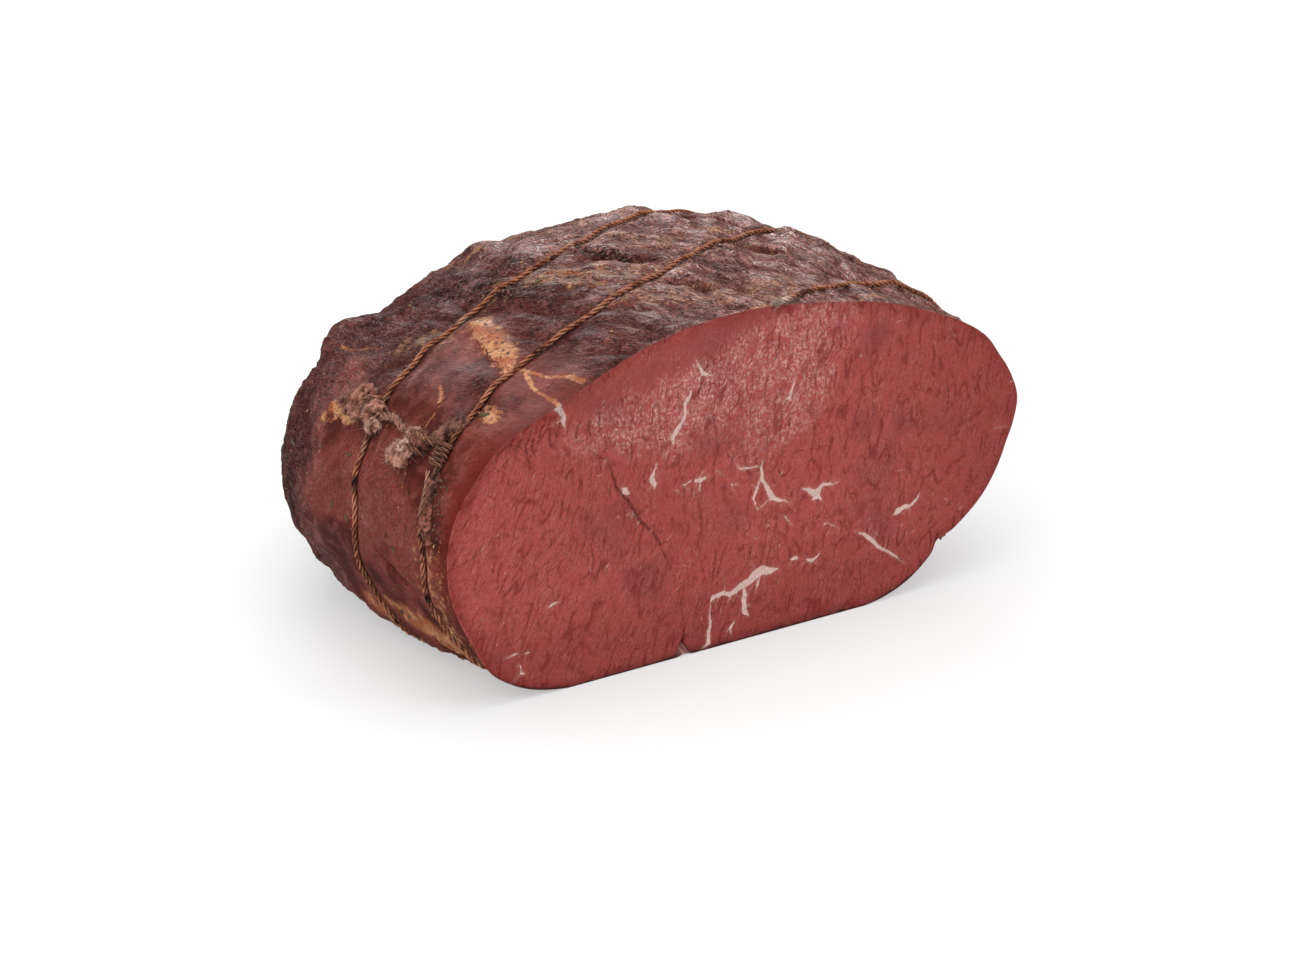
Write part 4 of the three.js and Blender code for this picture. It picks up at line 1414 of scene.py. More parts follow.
    def joining_strand(self) -> Skin:
        """The thick strand from the rear knot to the front one: two cords that sway as sine waves, with fuzz.

        Returns:
            The cords and their fibres.
        """
        skins = []
        for lift, reach, seed in ((0.9, 0.75, 91), (0.5, 0.6, 92)):
            path, hints = self.run((5.36, 2.0), (5.24, 1.3), self.strand_steps, lift)
            sway = np.linspace(0.0, 3.0 * np.pi, len(path))[:, None] + lift
            path = path + reach * np.sin(sway) * np.cross(unit(np.gradient(path, axis=0)), hints)
            skins.append(cord_values(self.cord.wound(path, hints, scale=1.15), 0.3, 0.15, 0.6))
            skins.append(cord_values(self.fuzz(path, hints, self.strand_fibres, seed, 1.8), 0.1, 0.5, 0.8))
        return Skin.joined(skins)

    def build(self, finish: Material) -> None:
        """Makes both strings, their knots and what clings to them.

        Args:
            finish: the cord's material.
        """
        for node, station, wads, coils, seed in (
            ("string_front", 1.0, self.front_wads, self.front_coils, 81),
            ("string_rear", 2.0, self.rear_wads, self.rear_coils, 82),
        ):
            path, hints = self.loop(station)
            cord = self.stained(self.cord.wound(path, hints, True))
            fuzz = cord_values(self.fuzz(path, hints, self.loop_fibres, seed), 0.1, 0.3)
            Skin.joined([cord, fuzz]).piece(node + "_loop", finish, Slot.STRING, node)
            self.knot(wads, coils).piece(node + "_knot", finish, Slot.STRING, node)
        rolls = [skin for roll in self.rolls for skin in self.roll(roll)]
        rolls = Skin.joined([self.split_strand()] + rolls)
        rolls.piece("string_front_crumb_rolls", finish, Slot.STRING, "string_front")
        self.joining_strand().piece("string_rear_strand", finish, Slot.STRING, "string_rear")


@dataclass(frozen=True)
class CutString:
    """The string that the knife cut, in a leaning plane from the face's top to its right edge."""

    strings: Strings
    lean: float = 0.6
    # Across and up of a point of the plane's line on the cut, and the direction square to that line.
    top: tuple[float, float] = (9.0, 82.0)
    across: tuple[float, float] = (0.797, 0.603)
    turns: tuple[float, float] = (9.4, 15.97)
    steps: int = 520
    brush_fibres: int = 150
    fuzz_fibres: int = 200

    def path(self) -> tuple[Array, Array]:
        """Where the string runs: as far behind the cut as the plane leans at that turn of the outline.

        Returns:
            Points and the outward directions there.
        """
        muscle = self.strings.muscle
        turn = np.linspace(*self.turns, self.steps)
        outline = muscle.outline_at(turn)
        offset = (outline[:, :2] - self.top) @ np.array(self.across)
        depth = np.maximum(self.lean * offset, 0.0)
        path = muscle.over(turn, depth / outline[:, 2], 0.35 + 0.5 * smoothstep(10.4, 9.6, turn))
        path[:, 1] = depth - np.maximum(-self.lean * offset, 0.0) * 0.1
        return muscle.bitten(path), muscle.outward(turn, depth / outline[:, 2])

    def build(self, finish: Material) -> None:
        """Makes the string, pale and frayed to a brush where it is cut.

        Args:
            finish: the cord's material.
        """
        path, hints = self.path()
        cord = self.strings.cord.wound(path, hints)
        run = cord.values["thread"][:, 2]
        dark = smoothstep(0.3, 0.7, Grain(95)(cord.points / 6.0))
        dark = dark + smoothstep(8.0, 11.0, run) * smoothstep(20.0, 16.0, run)
        cord = cord_values(cord, 0.9 * dark, 1.2 * smoothstep(9.0, 2.0, run))
        spread = 0.45 * np.random.default_rng(96).normal(size=(self.brush_fibres, 3))
        brush = cord_values(tuft(path[3] + spread, path[0] - path[14], 2.4, 0.6, 97, 0.09), 0.0, 1.0)
        fuzz = cord_values(self.strings.fuzz(path, hints, self.fuzz_fibres, 98), 0.0, 0.5)
        Skin.joined([cord, brush, fuzz]).piece("string_cut_end", finish, Slot.STRING, "string_cut")


# -------- nodes and finishes


def srgb(red: float, green: float, blue: float) -> tuple[float, float, float, float]:
    """A colour as seen, each part from 10 to 255, as the linear values that a shader takes."""
    return (*(((part / 255.0 + 0.055) / 1.055) ** 2.4 for part in (red, green, blue)), 1.0)


class Board:
    """Lays out the nodes of one material, world or group and links them."""

    def __init__(self, tree: NodeTree) -> None:
        """Starts on a node tree."""
        self.tree = tree

    def add(self, kind: str, **settings: object) -> Node:
        """A new node with its settings.

        Args:
            kind: Blender's name of the node.
            settings: its settings by name.

        Returns:
            The node.
        """
        node = self.tree.nodes.new(kind)
        for name, value in settings.items():
            setattr(node, name, value)
        return node

    def feed(self, socket: Socket, value: Value) -> None:
        """Links a socket to another one, or sets it to a constant.

        Args:
            socket: the input.
            value: an output or a constant.
        """
        if isinstance(value, Socket):
            self.tree.links.new(value, socket)
        else:
            socket.default_value = value

    def feed_all(self, node: Node, *values: Value) -> Socket:
        """Sets or links a node's inputs in their order.

        Args:
            node: the node.
            values: outputs or constants.

        Returns:
            The node's first output.
        """
        for socket, value in zip(node.inputs, values):
            self.feed(socket, value)
        return node.outputs[0]

    def maths(self, operation: str, *values: Value, clamp: bool = False) -> Socket:
        """The result of a Math node."""
        return self.feed_all(self.add("ShaderNodeMath", operation=operation, use_clamp=clamp), *values)

    def times(self, first: Value, second: Value) -> Socket:
        """The product of two values."""
        return self.maths("MULTIPLY", first, second)

    def larger(self, first: Value, second: Value) -> Socket:
        """The larger of two values."""
        return self.maths("MAXIMUM", first, second)

    def rest(self, value: Value) -> Socket:
        """What a share leaves of 1."""
        return self.maths("SUBTRACT", 1.0, value)

    def step(self, value: Value, low: float, high: float, first: float = 0.0, last: float = 1.0) -> Socket:
        """Runs smoothly from first to last as a value goes from low to high."""
        node = self.add("ShaderNodeMapRange", interpolation_type="SMOOTHSTEP")
        return self.feed_all(node, value, low, high, first, last)

    def mix(self, share: Value, first: Value, second: Value) -> Socket:
        """Two colours mixed by a share.

        Args:
            share: share of the second.
            first: colour at 0.
            second: colour at 1.

        Returns:
            The colour.
        """
        node = self.add("ShaderNodeMix", data_type="RGBA")
        for index, value in ((0, share), (6, first), (7, second)):
            self.feed(node.inputs[index], value)
        return node.outputs[2]

    def kept(self, name: str, part: str = "Fac") -> Socket:
        """A value kept at the mesh's points, or a vector if its part is "Vector"."""
        return self.add("ShaderNodeAttribute", attribute_name=name).outputs[part]

    def place(self) -> Socket:
        """Object coordinates in millimetres."""
        return self.scaled(self.add("ShaderNodeTexCoord").outputs["Object"], (1000.0,) * 3)

    def part(self, vector: Socket, name: str) -> Socket:
        """One coordinate of a vector."""
        return self.fill(self.add("ShaderNodeSeparateXYZ"), Vector=vector).outputs[name]

    def scaled(self, vector: Socket, scale: Triple) -> Socket:
        """A vector with each part times its own factor."""
        return self.fill(self.add("ShaderNodeMapping"), Vector=vector, Scale=scale).outputs[0]

    def noise(
        self, vector: Socket, scale: Value, detail: float, rough: float = 0.5, bend: float = 0.0
    ) -> Socket:
        """A Noise Texture's value."""
        node = self.fill(self.add("ShaderNodeTexNoise"), Vector=vector, Scale=scale, Detail=detail)
        return self.fill(node, Roughness=rough, Distortion=bend).outputs[0]

    def swayed(self, vector: Socket, size: float, reach: float) -> Socket:
        """A vector pushed about by up to half a reach by noise of a given size."""
        push = self.fill(self.add("ShaderNodeTexNoise"), Vector=vector, Scale=1.0 / size).outputs["Color"]
        return self.feed_all(
            self.add("ShaderNodeVectorMath", operation="MULTIPLY_ADD"), push, (reach,) * 3, vector)

    def thread_lines(self, vector: Socket, scale: float, width: float) -> Socket:
        """Winding lines where bent noise crosses its middle value."""
        crossing = self.maths("SUBTRACT", self.noise(vector, scale, 1.0, 0.5, 0.5), 0.5)
        return self.step(self.maths("ABSOLUTE", crossing), width, 0.25 * width)

    def cracks(self, vector: Socket) -> Socket:
        """Distance to the edge between a Voronoi texture's cells, of about 1 across."""
        node = self.add("ShaderNodeTexVoronoi", feature="DISTANCE_TO_EDGE")
        return self.fill(node, Vector=vector, Scale=1.0).outputs["Distance"]

    def bump(self, height: Socket, distance: float, **over: Socket) -> Socket:
        """A Bump node's normal, over another one if that is given as Normal."""
        return self.fill(self.add("ShaderNodeBump"), Distance=distance, Height=height, **over).outputs[0]

    def effect(self, group: NodeTree, **inputs: Value) -> Socket:
        """The output of a shared effect placed with its own values."""
        return self.fill(self.add("ShaderNodeGroup", node_tree=group), **inputs).outputs[0]

    def fill(self, node: Node, **inputs: Value) -> Node:
        """Sets or links a node's inputs by name, underscores standing for spaces.

        Args:
            node: the node.
            inputs: outputs or constants by name.

        Returns:
            The same node.
        """
        for name, value in inputs.items():
            self.feed(node.inputs[name.replace("_", " ")], value)
        return node


class SharedEffects:
    """Node groups that more than one finish uses."""

    def __init__(self) -> None:
        """Builds each group once."""
        self.grain = self._grain()
        self.stain = self._stain()
        self.mottle = self._mottle()

    def mottled(self, board: Board, vector: Socket, size: float, contrast: float) -> Socket:
        """The cloudy mottling placed on a board."""
        return board.effect(self.mottle, Vector=vector, Size=size, Contrast=contrast)

    def grained(self, board: Board, vector: Socket, size: float, sharpness: float) -> Socket:
        """The strand grain placed on a board."""
        return board.effect(self.grain, Vector=vector, Size=size, Sharpness=sharpness)

    def frayed(
        self, board: Board, vector: Socket, edge: Socket, fringe: float, soft: float, size: float
    ) -> Socket:
        """The frayed stain of a field placed on a board."""
        return board.effect(self.stain, Vector=vector, Field=edge, Fringe=fringe, Softness=soft, Size=size)

    @staticmethod
    def _group(name: str, numbers: tuple, result: str) -> tuple:
        """A new group that takes a vector and named numbers and gives one number.

        Args:
            name: the group's name.
            numbers: names of the numbers that it takes.
            result: name of the number that it gives.

        Returns:
            The tree, a board on it, what it takes by name and what it gives.
        """
        tree = bpy.data.node_groups.new(name, "ShaderNodeTree")
        tree.interface.new_socket("Vector", in_out="INPUT", socket_type="NodeSocketVector")
        for label in numbers:
            tree.interface.new_socket(label, in_out="INPUT", socket_type="NodeSocketFloat")
        tree.interface.new_socket(result, in_out="OUTPUT", socket_type="NodeSocketFloat")
        board = Board(tree)
        return tree, board, board.add("NodeGroupInput").outputs, board.add("NodeGroupOutput").inputs[result]

    def _grain(self) -> NodeTree:
        """Fine strands: two sizes of noise on a vector that is already stretched along them.

        Returns:
            The group.

        Returns:
            The group.
        """
        tree, board, given, out = self._group("strand grain", ("Size", "Sharpness"), "Height")
        scale = board.maths("DIVIDE", 1.0, given["Size"])
        coarse = board.noise(given["Vector"], scale, 3.0, 0.6, 0.4)
        fine = board.noise(given["Vector"], board.times(scale, 2.7), 2.0, 0.7)
        both = board.maths("ADD", board.times(coarse, 0.65), board.times(fine, 0.35))
        centred = board.maths("SUBTRACT", both, 0.5)
        board.feed(out, board.maths("MULTIPLY_ADD", centred, given["Sharpness"], 0.5, clamp=True))
        return tree

    def _stain(self) -> NodeTree:
        """A patch with a frayed edge, from a distance field in millimetres that is less than 0 inside.

        Returns:
            The group.

        Returns:
            The group.
        """
        tree, board, given, out = self._group("frayed stain", ("Field", "Fringe", "Softness", "Size"), "Mask")
        texture = board.noise(given["Vector"], board.maths("DIVIDE", 1.0, given["Size"]), 4.0, 0.65)
        shift = board.times(board.maths("SUBTRACT", texture, 0.5), given["Fringe"])
        edge = board.maths("ADD", given["Field"], board.times(shift, 2.0))
        board.feed(out, board.step(board.maths("DIVIDE", edge, given["Softness"]), 1.0, -1.0))
        return tree

    def _mottle(self) -> NodeTree:
        """Cloudy variation from 0 to 1 with a given size in millimetres and contrast.

        Returns:
            The group.

        Returns:
            The group.
        """
        tree, board, given, out = self._group("cloudy mottling", ("Size", "Contrast"), "Value")
        texture = board.noise(given["Vector"], board.maths("DIVIDE", 1.0, given["Size"]), 5.0, 0.55, 0.3)
        centred = board.maths("SUBTRACT", texture, 0.5)
        board.feed(out, board.maths("MULTIPLY_ADD", centred, given["Contrast"], 0.5, clamp=True))
        return tree


def new_finish(name: str) -> tuple[Material, Board, Node]:
    """A material with one Principled shader, and a board on its nodes.

    Args:
        name: the material's name.

    Returns:
        The material, the board and the shader.
    """
    material = bpy.data.materials.new(name)
    material.use_nodes = True
    board = Board(material.node_tree)
    material.node_tree.nodes.clear()
    shader = board.add("ShaderNodeBsdfPrincipled")
    output = board.add("ShaderNodeOutputMaterial")
    board.feed(output.inputs["Surface"], shader.outputs["BSDF"])
    return material, board, shader


@dataclass(frozen=True)
class CutMeatFinish:
    """Moist crimson cut face, pale fat, dark seams, and on the cut fibre ends a glossy coat with painted
    highlights.
    """

    flesh: tuple = srgb(181, 79, 73)
    deep: tuple = srgb(130, 41, 41)
    plum: tuple = srgb(152, 66, 67)
    bright: tuple = srgb(190, 91, 81)
    dark: tuple = srgb(88, 22, 24)
    rim: tuple = srgb(128, 24, 22)
    base: tuple = srgb(92, 40, 40)
    crust: tuple = srgb(66, 32, 27)
    fat: tuple = srgb(226, 194, 184)
    # Colour of the painted highlights on the fibre ends.
    glint: tuple = srgb(230, 172, 165)

    def build(self, shared: SharedEffects) -> Material:
        """Builds the material from the fields kept on the cut face.

        Args:
            shared: effects that finishes share.

        Returns:
            The material.
        """
        material, board, shader = new_finish("cut_meat")
        kept, mix, step, times = board.kept, board.mix, board.step, board.times
        place = board.place()
        weave = kept("weave", "Vector")
        strip = step(kept("strip"), 2.0, -2.0)
        broad = shared.mottled(board, place, 24.0, 2.8)
        cloud = shared.mottled(board, place, 6.0, 2.4)
        colour = mix(step(broad, 0.0, 0.45), self.plum, self.flesh)
        colour = mix(times(cloud, 0.4), colour, self.bright)
        strands = board.scaled(weave, (1.0, 1.0, 0.5))
        x, z = board.part(place, "X"), board.part(place, "Z")
        grain = shared.grained(board, strands, 0.55, 3.2)
        calm = step(x, 15.0, 65.0, 0.5, 0.25)
        colour = mix(times(step(grain, 0.55, 0.2), calm), colour, self.deep)
        swayed = board.swayed(weave, 2.5, 1.6)
        crackle = step(board.cracks(board.scaled(swayed, (0.46, 1.0, 0.19))), 0.085, 0.01)
        crackle = times(crackle, step(cloud, 0.3, 0.8))
        colour = mix(times(crackle, 0.4), colour, self.deep)
        colour = mix(times(strip, 0.5), colour, self.plum)
        # Painted highlight: this mask of the sheen strips sets where pale glint lines are painted into the
        # colour; it also sets the real coat gloss.
        wet_and_painted_sheen = step(kept("sheen"), 7.0, -3.0)
        patches = shared.mottled(board, place, 4.0, 3.2)
        wet_and_painted_sheen = times(wet_and_painted_sheen, step(patches, -0.1, 0.65))
        wet_and_painted_sheen = times(wet_and_painted_sheen, board.rest(strip))
        worms = board.thread_lines(strands, 1.2, 0.09)
        finer = board.thread_lines(strands, 2.2, 0.12)
        broken = shared.mottled(board, place, 0.8, 4.0)
        lines = times(board.larger(worms, times(finer, 0.7)), broken)
        lines = times(lines, board.rest(crackle))
        level = board.maths("MULTIPLY_ADD", wet_and_painted_sheen, 0.9, times(cloud, 0.26))
        # Painted highlight: the glint colour mixed along the lines.
        colour = mix(times(lines, level), colour, self.glint)
        # Painted shade: the furrows between bundles, which the relief also dips into, are darkened in colour.
        furrow = kept("furrow")
        colour = mix(times(furrow, 0.72), colour, self.deep)
        seam = step(kept("seam"), 0.42, -0.05)
        colour = mix(times(seam, step(broken, 0.0, 0.8, 0.9, 0.5)), colour, self.dark)
        edge = kept("edge")
        rim = shared.frayed(board, place, board.maths("SUBTRACT", edge, 2.2), 1.8, 2.4, 9.0)
        left_edge = step(x, -40.0, -70.0)
        # Painted shade: the face darkens towards its right side and its bottom, where the light falls off.
        away = board.larger(step(x, 20.0, 75.0), step(z, 26.0, 4.0))
        colour = mix(times(away, 0.36), colour, self.deep)
        colour = mix(times(rim, step(left_edge, 0.0, 1.0, 0.3, 0.5)), colour, self.rim)
        line = times(step(edge, 0.55, 0.2), times(left_edge, step(patches, 0.2, 0.6)))
        colour = mix(times(line, 0.6), colour, self.bright)
        low = times(step(z, 4.5, 0.0), step(edge, 4.0, 0.5))
        crumbled = shared.frayed(board, place, board.maths("SUBTRACT", edge, 0.6), 1.4, 0.3, 2.5)
        crumbled = times(crumbled, step(z, 12.0, 2.0))
        colour = mix(times(low, 0.35), colour, self.base)
        colour = mix(times(crumbled, 0.85), colour, self.crust)
        fat = shared.frayed(board, place, kept("fat"), 0.35, 0.12, 0.9)
        halo = shared.frayed(board, place, kept("fat"), 0.5, 0.9, 1.0)
        flecks = shared.frayed(board, place, kept("flecks"), 0.3, 0.15, 0.7)
        white = board.larger(times(halo, 0.22), times(flecks, 0.5))
        white = board.larger(white, times(fat, 0.93))
        colour = mix(white, colour, self.fat)
        gloss = times(wet_and_painted_sheen, step(lines, 0.0, 0.6, 0.35, 1.0))
        coat = board.maths("MULTIPLY_ADD", gloss, 0.6, 0.03)
        rise = board.maths("MULTIPLY_ADD", crackle, -0.5, board.maths("ADD", lines, grain))
        normal = board.bump(rise, 0.0003)
        normal = board.bump(board.rest(furrow), 0.0002, Normal=normal)
        roughness = step(grain, 0.0, 1.0, 0.55, 0.42)
        board.fill(shader, Base_Color=colour, Roughness=roughness, Coat_Weight=coat, Normal=normal)
        board.fill(shader, Specular_IOR_Level=0.15, Coat_Roughness=0.28, Coat_IOR=1.4, Subsurface_Weight=0.1,
                   Subsurface_Radius=(1.0, 0.25, 0.15), Subsurface_Scale=0.0015)
        return material


@dataclass(frozen=True)
class CrustFinish:
    """Smoked, dried outside: purple-brown and wrinkled on top, deep red and smooth at the side."""

    brown: tuple = srgb(150, 88, 77)
    purple: tuple = srgb(198, 138, 128)
    pale: tuple = srgb(232, 196, 188)
    red: tuple = srgb(118, 48, 40)
    red_deep: tuple = srgb(82, 32, 26)
    plum: tuple = srgb(142, 78, 70)
    glow: tuple = srgb(104, 25, 20)
    crevice: tuple = srgb(82, 26, 20)
    # Colour of crumbs and dark specks, also used for the painted shade beside the strings.
    soot_and_shade: tuple = srgb(42, 25, 21)
    lines: tuple = srgb(66, 34, 30)
    gold: tuple = srgb(206, 152, 104)
    orange: tuple = srgb(172, 98, 54)

    def build(self, shared: SharedEffects) -> Material:
        """Builds the material from the fields kept on the crust.

        Args:
            shared: effects that finishes share.

        Returns:
            The material.
        """
        material, board, shader = new_finish("dried_crust")
        kept, mix, step, times = board.kept, board.mix, board.step, board.times
        place = board.place()
        fibre = kept("fibre", "Vector")
        side, relief = kept("side"), kept("relief")
        broad = shared.mottled(board, place, 20.0, 3.0)
        cloud = shared.mottled(board, place, 4.5, 3.0)
        speck = shared.mottled(board, place, 0.9, 3.5)
        strands = board.scaled(board.swayed(fibre, 5.0, 2.0), (1.0, 0.22, 0.7))
        grain = shared.grained(board, strands, 0.6, 4.2)
        streaks = shared.grained(board, strands, 2.4, 3.8)
        fissures = times(board.thread_lines(strands, 0.42, 0.04), step(streaks, 0.7, 0.3))
        fissures = board.larger(fissures, times(board.thread_lines(strands, 1.1, 0.06), 0.6))
        glints = times(board.thread_lines(strands, 1.15, 0.09), step(grain, 0.1, 0.6))
        top = mix(step(cloud, 0.25, 0.8), self.brown, self.purple)
        # Painted highlight: pale glint lines on the higher places of the relief stand for the light's sheen
        # on the fibres.
        shine = times(glints, step(streaks, 0.15, 0.6))
        shine = times(shine, step(relief, -1.0, 0.2, 0.1, 1.0))
        top = mix(times(shine, 0.95), top, self.pale)
        walls = mix(step(broad, 0.25, 0.75), self.red_deep, self.red)
        walls = mix(times(step(cloud, 0.4, 0.9), 0.4), walls, self.plum)
        clear = step(kept("cut"), 2.0, 8.0)
        hairs = times(times(glints, clear), step(broad, 0.4, 0.75))
        walls = mix(times(hairs, 0.07), walls, self.pale)
        reddish = board.larger(side, step(board.part(place, "X"), -4.0, -40.0, 0.0, 0.85))
        colour = mix(reddish, top, walls)
        dark_grain = step(grain, 0.4, 0.1)
        lined = board.larger(times(dark_grain, 0.5), fissures)
        colour = mix(times(lined, step(side, 0.0, 1.0, 0.75, 0.2)), colour, self.lines)
        # Painted shade: darker red in the low places of the relief.
        valley_shade = step(relief, 0.0, -0.9)
        colour = mix(times(valley_shade, 0.4), colour, self.red_deep)
        # Painted shade: the crevices between bundles, which the relief also cuts in, are darkened in colour.
        crevice = step(kept("crevice"), 0.9, -0.4)
        colour = mix(times(crevice, 0.75), colour, self.crevice)
        band = times(step(kept("cut"), 6.5, 0.5), step(broad, 0.0, 0.4, 0.4, 1.0))
        colour = mix(times(band, times(side, 0.8)), colour, self.glow)
        tawny = mix(step(cloud, 0.3, 0.75), self.orange, self.gold)
        tawny = mix(times(lined, 0.3), tawny, self.brown)
        gold = shared.frayed(board, board.scaled(fibre, (1.0, 0.6, 1.0)), kept("gold"), 3.6, 0.7, 1.8)
        gold = times(gold, step(speck, 0.85, 0.6))
        clumps = shared.frayed(board, board.scaled(fibre, (1.0, 0.6, 1.0)), kept("cloudy"), 22.0, 1.0, 1.4)
        clumps = times(clumps, step(cloud, 0.2, 0.6))
        strand = shared.frayed(board, place, kept("strand"), 0.9, 0.25, 1.0)
        colour = mix(times(board.larger(gold, strand), 0.85), colour, tawny)
        colour = mix(times(clumps, 0.45), colour, tawny)
        low = shared.frayed(board, place, kept("lowfat"), 2.6, 1.4, 3.0)
        colour = mix(times(low, 0.65), colour, tawny)
        grime = times(kept("crumbs"), step(speck, 0.3, 0.6))
        colour = mix(times(grime, 0.8), colour, self.soot_and_shade)
        colour = mix(times(step(speck, 0.8, 0.95), 0.5), colour, self.soot_and_shade)
        # Painted shade: the crust right beside each string is darkened towards the soot colour.
        shade = step(kept("string"), 1.6, 0.7)
        colour = mix(times(shade, 0.3), colour, self.soot_and_shade)
        roughness = board.maths("MULTIPLY_ADD", grime, 0.3, 0.45)
        clean = board.rest(grime)
        gloss = times(clean, step(reddish, 0.0, 1.0, 0.34, 0.2))
        coat = times(gloss, step(relief, -0.6, 0.8, 0.2, 1.0))
        rise = board.maths("SUBTRACT", board.maths("ADD", grain, glints), fissures)
        normal = board.bump(times(rise, step(side, 0.0, 1.0, 1.0, 0.15)), 0.0006)
        normal = board.bump(times(streaks, kept("top")), 0.0007, Normal=normal)
        normal = board.bump(times(speck, kept("crumbs")), 0.0005, Normal=normal)
        board.fill(shader, Base_Color=colour, Roughness=roughness, Coat_Weight=coat, Normal=normal)
        board.fill(shader, Specular_IOR_Level=0.1, Coat_Roughness=0.25, Coat_IOR=1.38)
        return material


@dataclass(frozen=True)
class CordFinish:
    """Smoke-stained orange-brown cotton string, sooty in places, crumpled fluff at knots, painted shade in
    grooves and folds.
    """

    stained: tuple = srgb(212, 138, 102)
    deep: tuple = srgb(150, 84, 62)
    fluff: tuple = srgb(182, 116, 98)
    # Colour of the painted shade between the plies.
    groove: tuple = srgb(74, 38, 26)
    soot_and_shade: tuple = srgb(52, 32, 28)
    pale: tuple = srgb(240, 210, 192)

    def build(self, shared: SharedEffects) -> Material:
        """Builds the material from the thread, soot, bleach and felting kept on the cords.

        Args:
            shared: effects that finishes share.

        Returns:
            The material.
        """
        material, board, shader = new_finish("smoked_cord")
        kept, mix, step, times = board.kept, board.mix, board.step, board.times
        place = board.place()
        thread = board.scaled(kept("thread", "Vector"), (2.6, 2.6, 0.7))
        strand = shared.grained(board, thread, 0.8, 3.0)
        cloud = shared.mottled(board, place, 2.2, 3.2)
        tint = mix(kept("felted"), self.stained, self.fluff)
        colour = mix(step(cloud, 0.15, 0.7), self.deep, tint)
        colour = mix(kept("bleach_and_highlight"), colour, self.pale)
        # Painted shade: the cord darkens between its twisted plies, less where it is bleached.
        bare = board.maths("MULTIPLY_ADD", kept("bleach_and_highlight"), -0.6, 0.8)
        colour = mix(times(kept("twist"), bare), colour, self.groove)
        # The soot share holds real soot and, on wads and rolls, painted shade in folds and undersides.
        dark = times(kept("soot_and_shade"), step(cloud, 0.1, 0.8, 1.0, 0.55))
        colour = mix(dark, colour, self.soot_and_shade)
        colour = mix(times(step(strand, 0.45, 0.1), 0.35), colour, self.soot_and_shade)
        roughness = step(cloud, 0.0, 1.0, 0.7, 0.85)
        normal = board.bump(strand, 0.0002)
        board.fill(shader, Base_Color=colour, Roughness=roughness, Normal=normal, Specular_IOR_Level=0.15)
        return material


@dataclass(frozen=True)
class SeasoningFinish:
    """Crumbs or leaves whose colour runs between two tones from piece to piece."""

    name: str
    first: tuple
    second: tuple
    roughness: float = 0.75

    def build(self, shared: SharedEffects) -> Material:
        """Builds the material from the tone kept on each lump.

        Args:
            shared: effects that finishes share.

        Returns:
            The material.
        """
        material, board, shader = new_finish(self.name)
        cloud = shared.mottled(board, board.place(), 0.5, 2.5)
        share = board.maths("MULTIPLY_ADD", cloud, 0.4, board.times(board.kept("tone"), 0.6))
        colour = board.mix(share, self.first, self.second)
        roughness = board.step(cloud, 0.0, 1.0, self.roughness - 0.15, self.roughness)
        board.fill(shader, Base_Color=colour, Roughness=roughness, Normal=board.bump(cloud, 0.0001))
        return material


# -------- crumbs and herbs


@dataclass(frozen=True)
class Sprinkle:
    """One kind of seasoning scattered over the crust, and the two tones that it runs between."""

    name: str
    count: int
    sizes: tuple[float, float]
    shape: Triple
    crowding: float
    seed: int
    tones: tuple


@dataclass(frozen=True)
class Seasoning:
    """Spice crumbs, herb leaves and flecks of dried fat that stick to the crust."""

    crust: Crust
    kinds: tuple = (
        Sprinkle("spice_crumbs", 4600, (0.14, 0.55), (1.0, 0.7, 0.4), 2.0, 101,
                 (srgb(44, 30, 25), srgb(120, 86, 66))),
        Sprinkle("herb_leaves", 150, (0.7, 1.8), (1.0, 0.4, 0.12), 0.8, 103,
                 (srgb(50, 40, 28), srgb(104, 86, 54))),
        Sprinkle("fat_flecks", 160, (0.2, 0.6), (1.0, 0.6, 0.35), 0.8, 105,
                 (srgb(150, 92, 56), srgb(206, 164, 116))),
    )

    def scattered(self, kind: Sprinkle) -> Skin:
        """Lumps drawn evenly over the crust and kept by the share of crumbs at each place.

        Args:
            kind: what is scattered.

        Returns:
            The lumps as one skin, each lying flat on the crust and turned at random.
        """
        rng = np.random.default_rng(kind.seed)
        tries = kind.count * 14
        turn = rng.uniform(0.0, len(self.crust.muscle.outline), tries)
        station = rng.uniform(0.1, self.crust.muscle.tip_station - 0.25, tries)
        points, normals, values = self.crust.shape(turn, station)
        wanted = (values["crumbs"] + 0.02) ** kind.crowding * (points[:, 2] > 0.6) * (values["string"] > 1.4)
        keep = np.flatnonzero(rng.uniform(0.0, 1.0, tries) < wanted)[: kind.count]
        along = unit(np.cross(normals[keep], rng.normal(size=(len(keep), 3))))
        frames = np.stack([along, np.cross(normals[keep], along), normals[keep]], axis=1)
        size = np.exp(rng.uniform(np.log(kind.sizes[0]), np.log(kind.sizes[1]), (len(keep), 1)))
        places = points[keep] + normals[keep] * size * kind.shape[2] * 0.35
        places[:, 2] = np.maximum(places[:, 2], size[:, 0])
        return lumps(places, frames, size * kind.shape, kind.seed + 1)

    def build(self, shared: SharedEffects) -> None:
        """Scatters each kind of seasoning as one piece.

        Args:
            shared: effects that finishes share.
        """
        for kind in self.kinds:
            finish = SeasoningFinish(kind.name, *kind.tones).build(shared)
            self.scattered(kind).piece(kind.name, finish, Slot.MEAT)


# -------- studio


@dataclass(frozen=True)
class Softbox:
    """A square area light aimed at the muscle: name, place in metres, side and power."""

    name: str
    place: Triple
    side: float
    power: float


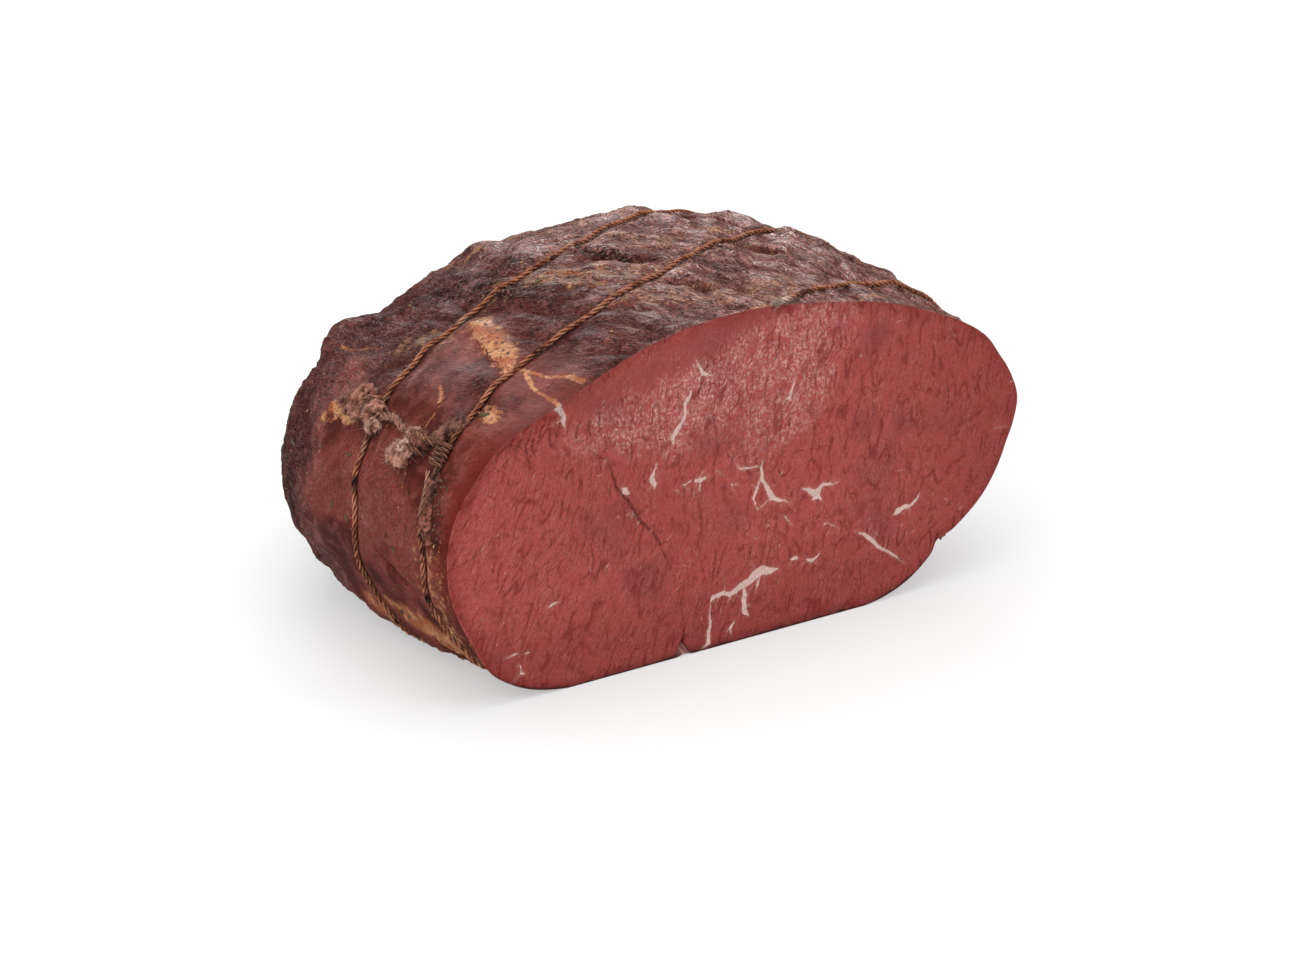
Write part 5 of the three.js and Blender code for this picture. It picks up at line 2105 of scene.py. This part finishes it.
@dataclass(frozen=True)
class Studio:
    """Pale floor, soft light and the camera at the photograph's angle."""

    azimuth: float = -36.0
    elevation: float = 19.634
    lens: float = 100.0
    camera_place: Triple = (-0.49917, -0.71277, 0.32766)
    floor_side: float = 12.0
    floor_drop: float = 0.0001
    floor_albedo: float = 0.44
    floor_glow: float = 0.425
    surround: float = 0.82
    mirrored: float = 0.05
    light_target: Triple = (0.0, 0.0, 0.04)
    softboxes: tuple = (
        Softbox("softbox_above", (-0.1, 0.1, 1.25), 1.3, 8.5),
        Softbox("softbox_behind", (0.6, 1.1, 0.7), 0.6, 5.0),
        Softbox("softbox_right", (0.7, -0.9, 0.5), 0.4, 2.0),
        Softbox("softbox_left", (-0.9, -0.5, 0.6), 0.8, 5.0),
    )

    def camera(self) -> None:
        """Places the camera without shift or depth of field."""
        made = bpy.data.objects.new("camera", bpy.data.cameras.new("camera"))
        made.data.lens = self.lens
        made.data.sensor_width = 36.0
        made.data.clip_start = 0.05
        made.data.clip_end = 50.0
        made.location = self.camera_place
        made.rotation_euler = (math.radians(90.0 - self.elevation), 0.0, math.radians(self.azimuth))
        bpy.context.scene.collection.objects.link(made)
        bpy.context.scene.camera = made

    def floor(self) -> None:
        """A plain pale floor under the muscle."""
        half = self.floor_side / 2.0
        mesh = bpy.data.meshes.new("floor")
        corners = [(-half, -half), (half, -half), (half, half), (-half, half)]
        mesh.from_pydata([(x, y, -self.floor_drop) for x, y in corners], [], [(0, 1, 2, 3)])
        material, board, shader = new_finish("pale_floor")
        mirrored = board.add("ShaderNodeLightPath").outputs["Is Glossy Ray"]
        grey = [(value, value, value, 1.0) for value in (self.floor_albedo, 0.3 * self.floor_albedo)]
        glow = board.mix(mirrored, WHITE, BLACK)
        board.fill(shader, Base_Color=board.mix(mirrored, *grey), Emission_Color=glow)
        board.fill(shader, Roughness=0.9, Specular_IOR_Level=0.1, Emission_Strength=self.floor_glow)
        mesh.materials.append(material)
        made = bpy.data.objects.new("floor", mesh)
        bpy.context.scene.collection.objects.link(made)

    def lights(self) -> None:
        """The softboxes, each turned to the muscle's middle."""
        target = Vector(self.light_target)
        for box in self.softboxes:
            light = bpy.data.lights.new(box.name, "AREA")
            light.shape = "SQUARE"
            light.size = box.side
            light.energy = box.power
            made = bpy.data.objects.new(box.name, light)
            made.location = box.place
            made.rotation_euler = (target - made.location).to_track_quat("-Z", "Y").to_euler()
            bpy.context.scene.collection.objects.link(made)

    def world(self) -> None:
        """White surroundings that light the muscle less than they show."""
        world = bpy.data.worlds.new("studio")
        world.use_nodes = True
        world.node_tree.nodes.clear()
        board = Board(world.node_tree)
        path = board.add("ShaderNodeLightPath")
        unseen = board.step(path.outputs["Is Glossy Ray"], 0.0, 1.0, self.surround, self.mirrored)
        strength = board.larger(path.outputs["Is Camera Ray"], unseen)
        shader = board.add("ShaderNodeBackground")
        board.fill(shader, Color=WHITE, Strength=strength)
        output = board.add("ShaderNodeOutputWorld")
        board.feed(output.inputs["Surface"], shader.outputs[0])
        bpy.context.scene.world = world

    def build(self) -> None:
        """Sets up the whole studio."""
        bpy.context.scene.view_settings.view_transform = "Standard"
        self.camera()
        self.floor()
        self.lights()
        self.world()


# -------- the whole


def main() -> None:
    """Builds the studio and every piece of the muscle in order."""
    logging.basicConfig(level=logging.INFO, format="%(name)s: %(message)s")
    Studio().build()
    muscle = Muscle()
    shared = SharedEffects()
    CutFace(muscle).build(CutMeatFinish().build(shared))
    crust = Crust(muscle)
    crust.build(CrustFinish().build(shared))
    smoked_cord = CordFinish().build(shared)
    strings = Strings(muscle)
    strings.build(smoked_cord)
    CutString(strings).build(smoked_cord)
    Seasoning(crust).build(shared)


if __name__ == "__main__":
    main()
